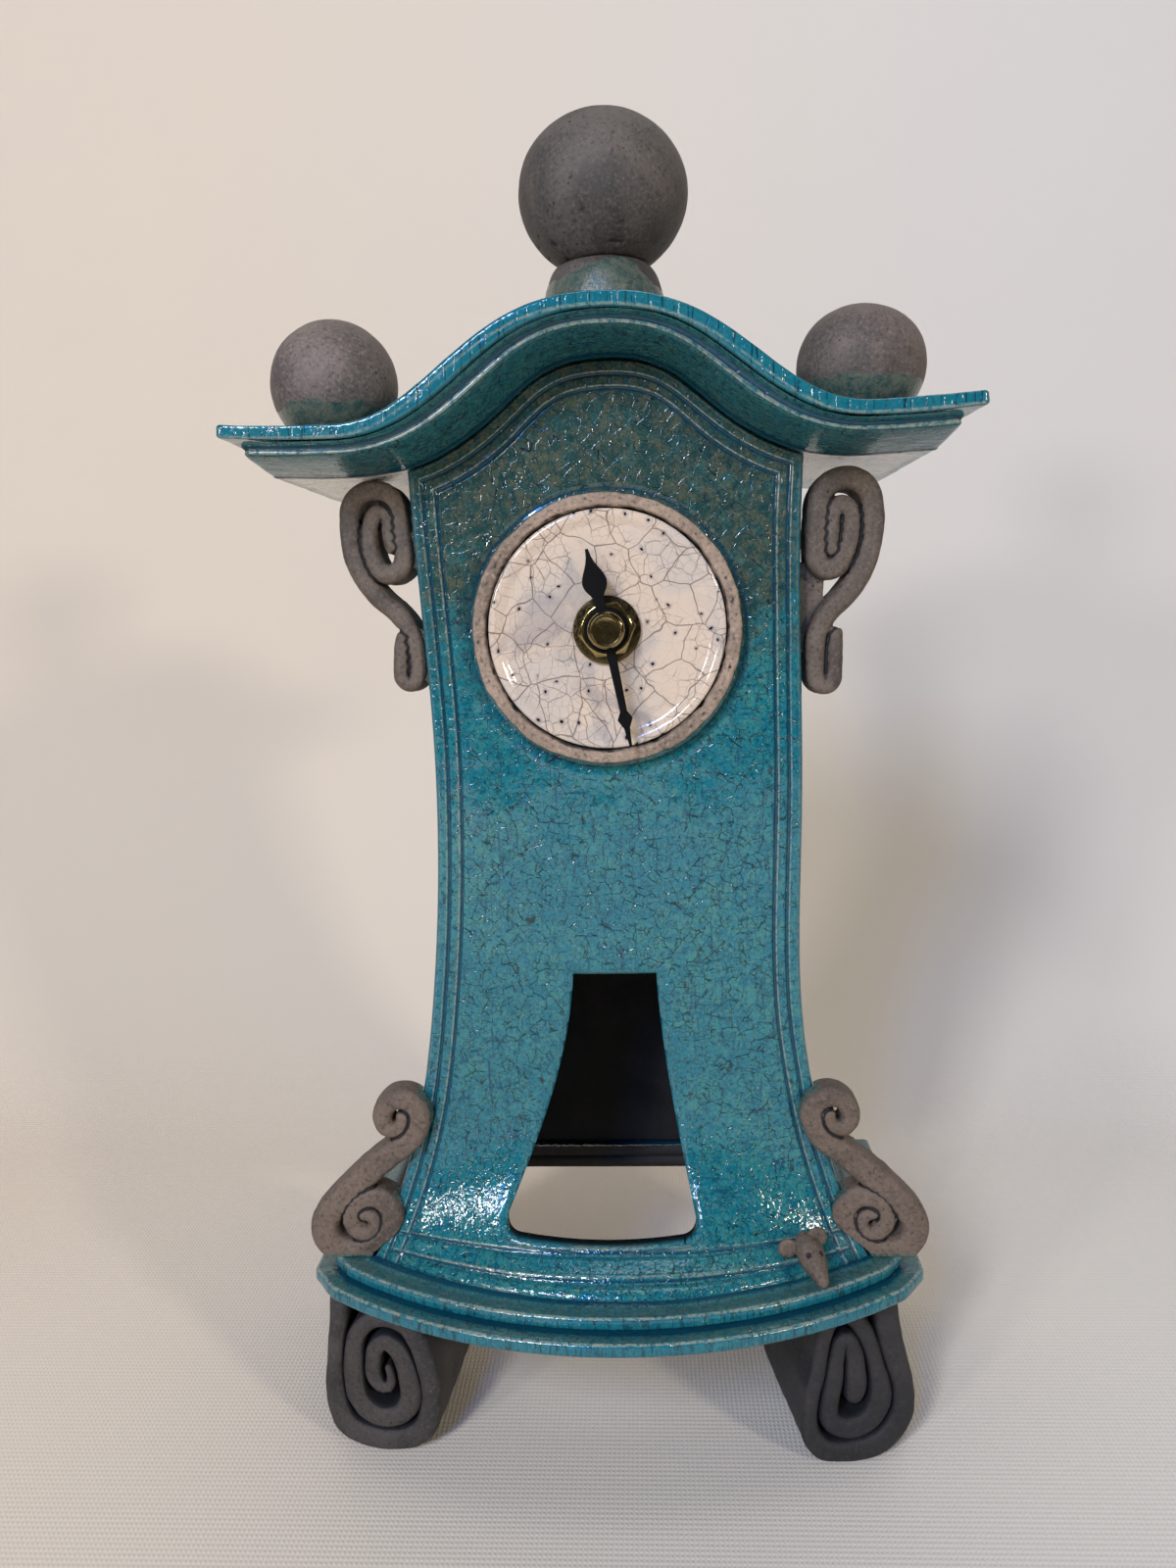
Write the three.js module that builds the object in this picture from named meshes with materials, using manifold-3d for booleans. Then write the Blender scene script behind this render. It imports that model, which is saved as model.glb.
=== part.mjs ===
// Raku mantel clock: a slab-built stoneware case with an ogee roof, a bow-front base, coiled
// strap feet and scrolls, and a battery movement behind a round dial.
// Millimetres, +Z up. The clock faces -Y and stands on z = 0, centred on the Z axis.
// The pottery is laid out from the plane of the front panel, y = 0, before it is centred.

import * as THREE from "three";
import { mergeVertices } from "three/addons/utils/BufferGeometryUtils.js";
import Module from "manifold-3d";

const wasm = await Module();
wasm.setup();

// Clearances
const SEAT_GAP = 0.3; // between two pieces that rest on or touch each other
const RUN_GAP = 0.3; // between a shaft or pipe and the bore it turns in
const COIL_GAP = 0.4; // between two turns of a coiled strap

// Roof
const ROOF_LENGTH = 165;
const ROOF_SHIFT = -0.7; // the eaves are cut a little off centre
const ROOF_FRONT = 24; // overhang in front of the panel
const ROOF_REAR = 76; // from the front panel's plane to the rear eave
const ROOF_SLAB = 3.1;
const CORNICE = 5.3;
const CORNICE_FACE = 2.2; // upright edge of the cornice
const CORNICE_SETBACK = 4;
const CORNICE_END_SETBACK = 5;
const EAVE_HEIGHT = 255.6;
const OGEE_RISE = 24.6;
const OGEE_LENGTH = 116;
const OGEE_SHOULDER = 2.7; // fullness half way down the crown
const OGEE_SHOULDER_LENGTH = 52;
const SLOPE_SPREAD = 0.4; // the layers are thicker where the roof is steep
const EAVE_LIFT = 1;
const ROOF_LEAN = 0.014; // the roof stands a little higher at its right end

// Case walls
const WAIST_HEIGHT = 172;
const WAIST_HALF = 44.7;
const WAIST_SWAY = 1.8; // the waist leans to the right
const WAIST_SWAY_REACH = 70;
const SHOULDER_HEIGHT = 247;
const SHOULDER_FLARE = 1.8;
const SKIRT_FLARE = 15.5;
const SKIRT_HEIGHT = 58;
const SKIRT_POWER = 3.2;
const BOW_TOP = 100; // height at which the front panel starts to swell forward
const BOW_DEPTH = 25;
const BOW_POWER = 3.2;
const BOW_EDGE = 0.2; // share of the swell that is left at the panel's edges
const PANEL = 5.5;
const SIDE_WALL = 5;
const BACK_FRONT = 60.5;
const BACK_WALL = 5.5;

// Pendulum window in the front panel
const WINDOW_TOP = 124;
const WINDOW_TOP_HALF = 10.4;
const WINDOW_SILL = 59.5;
const WINDOW_SILL_HALF = 24;
const WINDOW_SWAY = -4.3; // the sill is cut off centre
const WINDOW_CORNER = 5;

// Hand opening in the back
const HATCH_WIDTH = 68;
const HATCH_HEIGHT = 70;
const HATCH_CORNER = 14;

// Base
const BASE_HEIGHT = 45;
const BASE_PLATE = 3.2;
const BASE_STEP = 3;
const BASE_SETBACK = 5;
const BASE_FRONT = 36.5;
const BASE_REAR = 70;
const BASE_HALF = 77.5;
const BASE_SHIFT = -1;
const BASE_CORNER = 6.5; // chamfer of the front corners, along X
const BASE_CORNER_DEPTH = 9;
const BASE_RADIUS = 120;
const BASE_RAIL = 21;
const REAR_RAIL = 12;

// Feet
const FOOT_STRAP = 4.7;
const FOOT_DEPTH = 40;
const FOOT_RADIUS = 12.7; // centre line of the outer turn, at the bottom
const FOOT_RUN = 19;
const FOOT_LEAN = 6; // degrees that the sides lean in towards the top
const FOOT_TURNS = 2.5;
const FOOT_FLAT = 0.5; // cut off where the foot rests
const FRONT_LEFT_FOOT = [-61.4, -9, -5]; // x, y and turn in degrees
const FRONT_RIGHT_FOOT = [58.9, -12, 9];
const REAR_LEFT_FOOT = [-65, 41, 0];
const REAR_RIGHT_FOOT = [63, 41, 0];
const REAR_FOOT_SCALE = [0.8, 0.6, 1]; // the rear feet are narrower and shorter

// Scrolls, each a strap that runs along a line of [length, turn in degrees] bends
const UPPER_SCROLL_DEPTH = 13;
const UPPER_SCROLL_FRONT = 2;
const LUTE_SETBACK = 4;
const LOWER_SCROLL_DEPTH = 8.5;
const LOWER_SCROLL_FRONT = -5;
const UPPER_LEFT_SCROLL = {
  start: [-51.3, 230.1],
  heading: 103,
  bends: [[6, -15], [5.5, 155], [12, 55], [10, 155], [11, 5], [17.5, 170], [6, 5], [18.5, 50],
    [19.5, -66], [5.5, -164], [9.5, -15]],
  strap: [3.6, 5, 3.6],
};
const UPPER_RIGHT_SCROLL = {
  start: [53.4, 227],
  heading: 92,
  bends: [[8.5, -10], [5.5, -160], [12.5, -45], [7.5, -145], [13, -10], [17, -160], [27, -60],
    [13, 50], [6, 0], [6, 175], [10.5, 0]],
  strap: [3.8, 5.4, 3.6],
  lute: [44, 52, 203, 224], // pad of clay that holds the scroll to the wall: x and z range
};
const LOWER_LEFT_SCROLL = {
  start: [-54, 88.5],
  heading: -75,
  bends: [[8, -175], [18, -215], [8, -40], [27, 15], [15, 135], [13.5, 60], [24, 255], [11, 230]],
  strap: [3.6, 7, 3.2],
};
const LOWER_SCROLL_MIRROR = -0.7; // middle line between the two lower scrolls

// Balls
const SIDE_BALL_RADIUS = 15.4;
const LEFT_BALL_INSET = 17.2; // centre of a side ball from its end of the roof
const RIGHT_BALL_INSET = 19.9;
const SIDE_BALL_Y = 14;
const RIGHT_BALL_SQUASH = 0.925;
const BALL_FLAT = 1; // height cut off a ball where it is luted on
const TOP_BALL_RADIUS = 20.3;
const TOP_BALL_X = 0.7;
const TOP_BALL_SQUASH = 0.93;
const TOP_BALL_NECK = 10.5;
const TOP_BALL_Y = 18;
const COLLAR_TOP = 296;
const COLLAR_RADIUS = 15.2;
const COLLAR_TOP_RADIUS = 10;
const COLLAR_SKIRT = 12; // how far the collar reaches below the crown of the roof

// Dial
const DIAL_HEIGHT = 209.2;
const RING_RADIUS = 31.8;
const RING_WIDTH = 3.4;
const RING_PROUD = 5;
const DIAL_SLAB = 2.6;
const DIAL_LIP = 1.2;
const DIAL_GAP = 0.4;

// Nut, bushing and washers
const BUSHING_RADIUS = 3.9;
const BUSHING_END = 7.2; // in front of the panel
const HOUR_PIPE_RADIUS = 2.9;
const HOUR_PIPE_WALL = 0.9;
const ARBOR_RADIUS = 1.7;
const WASHER_RADIUS = 8;
const WASHER = 0.8;
const NUT_FLATS = 12;
const NUT = 2.2;
const NUT_TURN = 8.5; // degrees
const GASKET_RADIUS = 9;
const GASKET = 0.9;

// Hands
const HAND = 0.7;
const HOUR_HAND_LENGTH = 19;
const HOUR_HAND_ANGLE = -12.8; // degrees clockwise from twelve
const HOUR_HUB = 5.1;
const HOUR_BULB = 2.9;
const HOUR_BULB_AT = 11.4;
const MINUTE_HAND_LENGTH = 27.5;
const MINUTE_HAND_ANGLE = 169.1;
const MINUTE_HUB = 4.6;
const MINUTE_SPEAR = 1.8;
const MINUTE_SPEAR_AT = 21;
const CAP_RADIUS = 4.3;
const CAP = 2.6;

// Movement, laid out from the rear of the front panel with its depth running back
const MOVEMENT_DEPTH = 17;
const MOVEMENT_WALL = 1.5;
const MOVEMENT_PLATE = 2;
const PARTITION = 1;
const BATTERY_RADIUS = 6.9;
const BATTERY_LENGTH = 50;
const BATTERY_NUB = 1.2;
const BATTERY_NUB_RADIUS = 2.7;
const CONTACT = 0.4;
const CONTACT_SPRING = 1; // least length of the spring behind the battery
const PIVOT_RADIUS = 0.5;
const KNOB_RADIUS = 4.5;
const KNOB = 3;
const KNOB_SHAFT = 1.5;
const POST_RADIUS = 0.7;

// Motion work: tooth counts at module 0.5, so that both steps share one centre distance
const MOTION_MODULE = 0.5;
const MINUTE_TEETH = 10;
const MOTION_TEETH = 30;
const MOTION_PINION_TEETH = 8;
const HOUR_TEETH = 32;
const MOTION_ANGLE = 60; // direction from the arbor to the motion wheel's post
const SETTING_ANGLE = 20;

// Going train: the rotor turns once in two seconds and the centre wheel once an hour
const TRAIN_MODULE = 0.25;
const CENTRE_MODULE = 0.3;
const PINION_TEETH = 8;
const INTERMEDIATE_PINION_TEETH = 10;
const INTERMEDIATE_TEETH = 48;
const SECONDS_TEETH = 50;
const THIRD_TEETH = 60;
const CENTRE_TEETH = 64;
const THIRD_ANGLE = 150;
const SECONDS_ANGLE = 100;
const INTERMEDIATE_ANGLE = 20;
const ROTOR_ANGLE = 25;
const ADDENDUM = 0.8;
const DEDENDUM = 1.2;

// Depth of each wheel behind the movement's front plate
const GEAR = 1.2;
const THIN_GEAR = 0.6;
const PINION = 1;
const HOUR_LAYER = 0.5;
const MINUTE_LAYER = 2.3;
const CENTRE_LAYER = 4.1;
const THIRD_LAYER = 5.5;
const SECONDS_LAYER = 6.7;
const STATOR_LAYER = 7.6;
const INTERMEDIATE_LAYER = 9.7;

// Rotor, stator and coil
const MAGNET_RADIUS = 3;
const MAGNET = 2;
const STATOR = 1;
const STATOR_GAP = 0.4;
const STATOR_ARM = 2;
const STATOR_RIM = 1; // round the rotor's hole
const STATOR_STAND = 4.5; // from the rotor end of the coil window to the first post
const COIL_RADIUS = 4;
const COIL_LENGTH = 14;
const COIL_BORE = 1.5;
const COIL_LIFT = 2.2; // axis of the coil above the rotor's
const COIL_ROOM = 0.8; // free space round the coil and the stator
const BOARD = 1;
const BOARD_WIDTH = 21;
const BOARD_HEIGHT = 17;
const CHIP_RADIUS = 3;
const CHIP = 1.2;

// Mouse head on the skirt
const MOUSE_NOSE = [48.4, -24.6, 55.7];
const MOUSE_BACK = [45.3, -11.2, 60.3];
const MOUSE_RADIUS = 3.7;
const MOUSE_EARS = [[41.2, -12.8, 58.7], [48.3, -12.8, 61.7]];
const EAR_RADIUS = 2.3;
const EAR = 1.8;

const DEGREE = Math.PI / 180;
const ROOF_BUILD = ROOF_SLAB + SEAT_GAP + CORNICE; // top of the roof to its underside
const STEP_TOP = BASE_HEIGHT + BASE_PLATE + SEAT_GAP + BASE_STEP;
const WALL_FOOT = STEP_TOP + SEAT_GAP;

// Finishes
const finish = (color, roughness, metalness = 0) => () =>
  new THREE.MeshStandardMaterial({ color, roughness, metalness });
const turquoiseGlaze = finish(0x2c8c93, 0.2);
const smokedClay = finish(0x6a605b, 0.9);
const crackleWhite = finish(0xd8d2cf, 0.3);
const brass = finish(0xb59a54, 0.3, 1);
const steel = finish(0xa8a8a8, 0.35, 1);
const blackLacquer = finish(0x101010, 0.6);
const blackPlastic = finish(0x1c1c1e, 0.5);
const wheelPlastic = finish(0xe6e4dc, 0.5);
const rubber = finish(0x202020, 0.9);
const copper = finish(0xb0643c, 0.35, 1);
const boardGreen = finish(0x2d5b3a, 0.6);
const batteryJacket = finish(0x3a3f45, 0.4);

// Solids and booleans
function toSolid(geometry) {
  const bare = geometry.clone();
  bare.deleteAttribute("normal");
  bare.deleteAttribute("uv");
  const merged = mergeVertices(bare, 1e-5);
  return new wasm.Manifold(new wasm.Mesh({
    numProp: 3,
    vertProperties: new Float32Array(merged.attributes.position.array),
    triVerts: new Uint32Array(merged.index.array),
  }));
}

function toGeometry(solid) {
  const mesh = solid.getMesh();
  const geometry = new THREE.BufferGeometry();
  geometry.setAttribute("position", new THREE.BufferAttribute(mesh.vertProperties, 3));
  geometry.setIndex(new THREE.BufferAttribute(mesh.triVerts, 1));
  return geometry;
}

const join = (...geometries) => toGeometry(geometries.map(toSolid).reduce((sum, next) => sum.add(next)));

const cut = (geometry, ...tools) =>
  toGeometry(tools.map(toSolid).reduce((left, tool) => left.subtract(tool), toSolid(geometry)));

// Basic forms
// A shape drawn in X and Z, made solid between two depths y0 < y1.
function slabY(shape, y0, y1, curveSegments = 6) {
  const geometry = new THREE.ExtrudeGeometry(shape, { depth: y1 - y0, bevelEnabled: false, curveSegments });
  return geometry.rotateX(Math.PI / 2).translate(0, y1, 0);
}

// A shape drawn in X and Y, made solid between two heights.
function slabZ(shape, z0, z1) {
  const geometry = new THREE.ExtrudeGeometry(shape, { depth: z1 - z0, bevelEnabled: false });
  return geometry.translate(0, 0, z0);
}

// A profile of [radius, y] points turned about the Y axis.
const turnY = (profile, segments = 32) =>
  new THREE.LatheGeometry(profile.map(([r, y]) => new THREE.Vector2(r, y)), segments);

// A profile of [radius, z] points turned about the Z axis.
const turnZ = (profile, segments = 24) => turnY(profile, segments).rotateX(Math.PI / 2);

const outline = (points) => new THREE.Shape(points.map(([x, y]) => new THREE.Vector2(x, y)));

const rectangle = (x0, x1, z0, z1) => outline([[x0, z0], [x1, z0], [x1, z1], [x0, z1]]);

const disc = (radius, y0, y1, segments = 24) => turnY([[0, y0], [radius, y0], [radius, y1], [0, y1]], segments);

const ring = (inner, outer, y0, y1, segments = 24) =>
  turnY([[inner, y0], [outer, y0], [outer, y1], [inner, y1], [inner, y0]], segments);

const roundBar = (radius, y0, y1, x, z, segments = 12) => disc(radius, y0, y1, segments).translate(x, 0, z);

const steps = (count, from, to) => Array.from({ length: count + 1 }, (_, i) => from + ((to - from) * i) / count);

// A sheet between two grids of points of equal size, closed along its four edges.
function sheet(front, back) {
  const rows = front.length;
  const columns = front[0].length;
  const points = [...front.flat(), ...back.flat()];
  const faces = [];
  const at = (side, row, column) => side * rows * columns + row * columns + column;
  const quad = (a, b, c, d) => faces.push(a, b, c, a, c, d);
  for (let r = 0; r + 1 < rows; r += 1) {
    for (let c = 0; c + 1 < columns; c += 1) {
      quad(at(0, r, c), at(0, r, c + 1), at(0, r + 1, c + 1), at(0, r + 1, c));
      quad(at(1, r, c), at(1, r + 1, c), at(1, r + 1, c + 1), at(1, r, c + 1));
    }
    quad(at(0, r, 0), at(0, r + 1, 0), at(1, r + 1, 0), at(1, r, 0));
    const last = columns - 1;
    quad(at(0, r, last), at(1, r, last), at(1, r + 1, last), at(0, r + 1, last));
  }
  for (let c = 0; c + 1 < columns; c += 1) {
    quad(at(0, 0, c), at(1, 0, c), at(1, 0, c + 1), at(0, 0, c + 1));
    const last = rows - 1;
    quad(at(0, last, c), at(0, last, c + 1), at(1, last, c + 1), at(1, last, c));
  }
  const geometry = new THREE.BufferGeometry();
  geometry.setAttribute("position", new THREE.Float32BufferAttribute(points.flat(), 3));
  geometry.setIndex(faces);
  return geometry;
}

// Roof line: a raised cosine between two level eaves
function roofTop(x) {
  const half = OGEE_LENGTH / 2;
  const away = Math.abs(x);
  const crown = away < half ? (OGEE_RISE / 2) * (1 + Math.cos((Math.PI * away) / half)) : 0;
  const full = away < OGEE_SHOULDER_LENGTH
    ? OGEE_SHOULDER * Math.sin((Math.PI * away) / OGEE_SHOULDER_LENGTH) ** 2
    : 0;
  const lift = away > half ? EAVE_LIFT * ((away - half) / (ROOF_LENGTH / 2 - half)) ** 2 : 0;
  return EAVE_HEIGHT + crown + full + lift + ROOF_LEAN * x;
}

// The point below the roof line at x, at a depth measured square to the line.
function belowRoof(x, depth) {
  const slope = (roofTop(x + 0.01) - roofTop(x - 0.01)) / 0.02;
  const reach = (depth * (1 + SLOPE_SPREAD * slope * slope)) / Math.hypot(1, slope);
  return [x + reach * slope, roofTop(x) - reach];
}

// Height of the line that lies a depth below the roof line, at the place x.
function roofHeight(x, depth) {
  let source = x;
  for (let i = 0; i < 8; i += 1) source += x - belowRoof(source, depth)[0];
  return belowRoof(source, depth)[1];
}

const roofStations = (half, count = 40) => steps(count, ROOF_SHIFT - half, ROOF_SHIFT + half);

function roofSlab() {
  const half = ROOF_LENGTH / 2;
  const top = roofStations(half).map((x) => [x, roofTop(x)]);
  const under = roofStations(half).map((x) => belowRoof(x, ROOF_SLAB)).reverse();
  return slabY(outline([...top, ...under]), -ROOF_FRONT, ROOF_REAR);
}

// The cornice: an upright edge, then a hollow cove that runs back to the front panel.
function roofCornice() {
  const face = -ROOF_FRONT + CORNICE_SETBACK;
  const top = ROOF_SLAB + SEAT_GAP;
  const lip = top + CORNICE_FACE;
  const cove = steps(4, 0, Math.PI / 2).map((angle) => [
    face * Math.cos(angle),
    lip + (ROOF_BUILD - lip) * (1 - Math.cos(angle)) ** 0.6,
  ]);
  const rear = ROOF_REAR - CORNICE_SETBACK;
  const under = [...cove, [rear, ROOF_BUILD]];
  const upper = under.map(([y]) => [y, top]);
  const stations = roofStations(ROOF_LENGTH / 2 - CORNICE_END_SETBACK);
  const grid = (line) => stations.map((x) => line.map(([y, depth]) => {
    const [px, pz] = belowRoof(x, depth);
    return [px, y, pz];
  }));
  return sheet(grid(under), grid(upper));
}

// Outline of the case, seen from the front
function wallHalf(z) {
  if (z > WAIST_HEIGHT) {
    return WAIST_HALF + SHOULDER_FLARE * ((z - WAIST_HEIGHT) / (SHOULDER_HEIGHT - WAIST_HEIGHT)) ** 2;
  }
  return WAIST_HALF + SKIRT_FLARE * ((WAIST_HEIGHT - z) / (WAIST_HEIGHT - SKIRT_HEIGHT)) ** SKIRT_POWER;
}

const wallSway = (z) => {
  const away = Math.abs(z - WAIST_HEIGHT);
  return away < WAIST_SWAY_REACH ? (WAIST_SWAY / 2) * (1 + Math.cos((Math.PI * away) / WAIST_SWAY_REACH)) : 0;
};

// How far the front panel swells forward at a share of its half width.
function panelFace(share, z) {
  const drop = Math.max(0, (BOW_TOP - z) / (BOW_TOP - WALL_FOOT));
  return -BOW_DEPTH * drop ** BOW_POWER * (1 - (1 - BOW_EDGE) * share * share);
}

// A point of the case wall: rise runs from 0 at the foot to 1 under the roof.
function wallPoint(share, rise) {
  let z = WALL_FOOT;
  let x = 0;
  for (let i = 0; i < 6; i += 1) {
    x = wallSway(z) + share * wallHalf(z);
    z = WALL_FOOT + rise * (roofHeight(x, ROOF_BUILD) - SEAT_GAP - WALL_FOOT);
  }
  return [x, z];
}

const WALL_RISES = steps(18, 0, 1).map((t) => t ** 1.35);

function caseOutline() {
  const edge = (side) => WALL_RISES.map((rise) => wallPoint(side, rise));
  const arch = steps(20, 1, -1).slice(1, -1).map((share) => wallPoint(share, 1));
  return [...edge(1), ...arch, ...edge(-1).reverse()];
}

function windowShape() {
  const left = WINDOW_SWAY - WINDOW_SILL_HALF;
  const right = WINDOW_SWAY + WINDOW_SILL_HALF;
  const bend = WINDOW_SILL + (WINDOW_TOP - WINDOW_SILL) * 0.6;
  const corner = WINDOW_SILL + WINDOW_CORNER;
  const sag = 1.2;
  const shape = new THREE.Shape();
  shape.moveTo(-WINDOW_TOP_HALF, WINDOW_TOP);
  shape.quadraticCurveTo(-WINDOW_TOP_HALF - 1.4, bend, left + 0.6, corner);
  shape.quadraticCurveTo(left - 0.8, WINDOW_SILL, left + WINDOW_CORNER, WINDOW_SILL);
  shape.quadraticCurveTo(WINDOW_SWAY, WINDOW_SILL - sag, right - WINDOW_CORNER, WINDOW_SILL);
  shape.quadraticCurveTo(right + 0.8, WINDOW_SILL, right - 0.6, corner);
  shape.quadraticCurveTo(WINDOW_TOP_HALF + 1.4, bend, WINDOW_TOP_HALF, WINDOW_TOP);
  return shape;
}

const shaftHole = (y0, y1) => roundBar(BUSHING_RADIUS + 2 * RUN_GAP, y0, y1, 0, DIAL_HEIGHT, 20);

// Points of the case front, closer together towards its edges, at a depth behind its face.
const PANEL_SHARES = steps(14, -1, 1).map((t) => Math.sin((t * Math.PI) / 2));
const panelGrid = (depth, widen = 0) => WALL_RISES.map((rise) => PANEL_SHARES.map((share) => {
  const [x, z] = wallPoint(share, rise);
  return [x + share * widen, panelFace(share, z) + depth, z];
}));

function frontPanel() {
  const cutDepth = BOW_DEPTH + 2 * PANEL;
  const opening = slabY(windowShape(), -cutDepth, cutDepth);
  return cut(sheet(panelGrid(0), panelGrid(PANEL)), opening, shaftHole(-PANEL, 2 * PANEL));
}

// A side wall, from the back of the front panel to the front of the back panel.
function sideWall(side) {
  const grid = (front) => WALL_RISES.map((rise) => [0, SIDE_WALL].map((thickness) => {
    const [edge, height] = wallPoint(side, rise);
    const x = edge - side * thickness;
    const z = Math.min(height, roofHeight(x, ROOF_BUILD) - SEAT_GAP);
    const share = (x - wallSway(z)) / wallHalf(z);
    const face = panelFace(share, z) + PANEL + SEAT_GAP;
    return [x, front ? face : BACK_FRONT - SEAT_GAP, z];
  }));
  return side < 0 ? sheet(grid(true), grid(false)) : sheet(grid(false), grid(true));
}

function roundedRectangle(width, height, corner, centreX, centreY) {
  const [x, y] = [width / 2 - corner, height / 2 - corner];
  const shape = new THREE.Shape();
  shape.absarc(centreX + x, centreY + y, corner, 0, Math.PI / 2);
  shape.absarc(centreX - x, centreY + y, corner, Math.PI / 2, Math.PI);
  shape.absarc(centreX - x, centreY - y, corner, Math.PI, 1.5 * Math.PI);
  shape.absarc(centreX + x, centreY - y, corner, 1.5 * Math.PI, 2 * Math.PI);
  shape.closePath();
  return shape;
}

function backPanel() {
  const shape = outline(caseOutline());
  shape.holes.push(roundedRectangle(HATCH_WIDTH, HATCH_HEIGHT, HATCH_CORNER, 0, DIAL_HEIGHT));
  return slabY(shape, BACK_FRONT, BACK_FRONT + BACK_WALL);
}

// Base: two stepped frames with a bowed front, open in the middle
function bowFront(radius, half, count) {
  const centre = BASE_RADIUS - BASE_FRONT;
  return steps(count, -half, half).map((x) => [x, centre - Math.sqrt(radius * radius - x * x)]);
}

function basePlan() {
  const shoulder = BASE_HALF - BASE_CORNER;
  const front = bowFront(BASE_RADIUS, shoulder, 18);
  const corner = front[0][1] + BASE_CORNER_DEPTH;
  return [[-BASE_HALF, corner], ...front, [BASE_HALF, corner], [BASE_HALF, BASE_REAR], [-BASE_HALF, BASE_REAR]];
}

// Moves each side of a closed outline inwards and joins the sides again at their corners.
function inset(points, distance) {
  const count = points.length;
  const side = (i) => {
    const [a, b] = [points[i % count], points[(i + 1) % count]];
    const length = Math.hypot(b[0] - a[0], b[1] - a[1]);
    const [ux, uy] = [(b[0] - a[0]) / length, (b[1] - a[1]) / length];
    return { x: a[0] - uy * distance, y: a[1] + ux * distance, ux, uy };
  };
  return points.map((_, i) => {
    const [p, q] = [side(i + count - 1), side(i)];
    const along = ((q.x - p.x) * q.uy - (q.y - p.y) * q.ux) / (p.ux * q.uy - p.uy * q.ux);
    return [p.x + p.ux * along, p.y + p.uy * along];
  });
}

function baseFrame(setback, z0, z1) {
  const shape = outline(inset(basePlan(), setback));
  const half = BASE_HALF - BASE_RAIL;
  const rear = BASE_REAR - REAR_RAIL;
  const opening = [...bowFront(BASE_RADIUS - BASE_RAIL, half, 12), [half, rear], [-half, rear]];
  shape.holes.push(outline(opening));
  return slabZ(shape, z0, z1);
}

// Clay straps
// The line of a strap as points; room is how far the strap can reach to its right and left.
function strapLine({ start, heading, bends }, bendStep = 27) {
  const total = bends.reduce((sum, [length]) => sum + length, 0);
  let [x, z] = start;
  let angle = heading * DEGREE;
  let done = 0;
  const line = [{ x, z, angle, share: 0, room: [total, total] }];
  for (const [length, turn] of bends) {
    const count = Math.max(1, Math.ceil(Math.abs(turn) / bendStep));
    const inside = length / Math.abs(turn * DEGREE) - 0.3;
    const room = [turn < 0 ? inside : total, turn > 0 ? inside : total];
    const before = line[line.length - 1];
    before.room = before.room.map((reach, side) => Math.min(reach, room[side]));
    for (let i = 0; i < count; i += 1) {
      angle += (turn * DEGREE) / count / 2;
      x += (length / count) * Math.cos(angle);
      z += (length / count) * Math.sin(angle);
      angle += (turn * DEGREE) / count / 2;
      done += length / count;
      line.push({ x, z, angle, share: done / total, room });
    }
  }
  return line;
}

// A strap of clay along a line, thickest in the middle; each stretch is joined to the next.
function strap(line, [first, middle, last], y0, y1) {
  const half = (share) => {
    const end = share < 0.5 ? first : last;
    return (end + (middle - end) * Math.max(0, Math.sin(Math.PI * share)) ** 0.7) / 2;
  };
  const edge = ({ x, z, angle, share, room }, side) => {
    const reach = side * Math.min(half(share), room[side < 0 ? 0 : 1]);
    return [x - reach * Math.sin(angle), z + reach * Math.cos(angle)];
  };
  const stretch = 4;
  const parts = [];
  for (let i = 0; i + 1 < line.length; i += stretch) {
    const piece = line.slice(i, i + stretch + 1);
    const right = piece.map((point) => edge(point, -1));
    const left = piece.map((point) => edge(point, 1)).reverse();
    parts.push(slabY(outline([...right, ...left]), y0, y1));
  }
  for (const { x, z, share } of [line[0], line[line.length - 1]]) {
    parts.push(roundBar(half(share), y0, y1, x, z, 10));
  }
  return join(...parts);
}

// A foot: one strap wound inwards, its turns a coil gap apart.
function footLine() {
  const pitch = FOOT_STRAP + COIL_GAP;
  const lean = FOOT_LEAN;
  const topRadius = FOOT_RADIUS - pitch / 2 - FOOT_RUN * Math.tan(lean * DEGREE);
  const arc = (radius, turn) => [radius * turn * DEGREE, turn];
  const bends = [];
  for (let turn = 0; turn < FOOT_TURNS; turn += 1) {
    const down = FOOT_RUN + pitch * Math.tan(lean * DEGREE);
    bends.push([turn === 0 ? FOOT_RUN : down, 0]);
    bends.push(arc(Math.max(FOOT_RADIUS - turn * pitch, FOOT_STRAP / 2 + 0.1), 180 + 2 * lean));
    if (turn + 1 > FOOT_TURNS) break;
    bends.push([FOOT_RUN, 0]);
    bends.push(arc(Math.max(topRadius - turn * pitch, FOOT_STRAP / 2 + 0.1), 180 - 2 * lean));
  }
  const bottom = FOOT_RADIUS + FOOT_STRAP / 2 - FOOT_FLAT;
  const [reach, drop] = [FOOT_RADIUS * Math.cos(lean * DEGREE), FOOT_RADIUS * Math.sin(lean * DEGREE)];
  const start = [
    -reach + FOOT_RUN * Math.sin(lean * DEGREE),
    bottom + drop + FOOT_RUN * Math.cos(lean * DEGREE),
  ];
  return strapLine({ start, heading: 270 - lean, bends }, 24);
}

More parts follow.
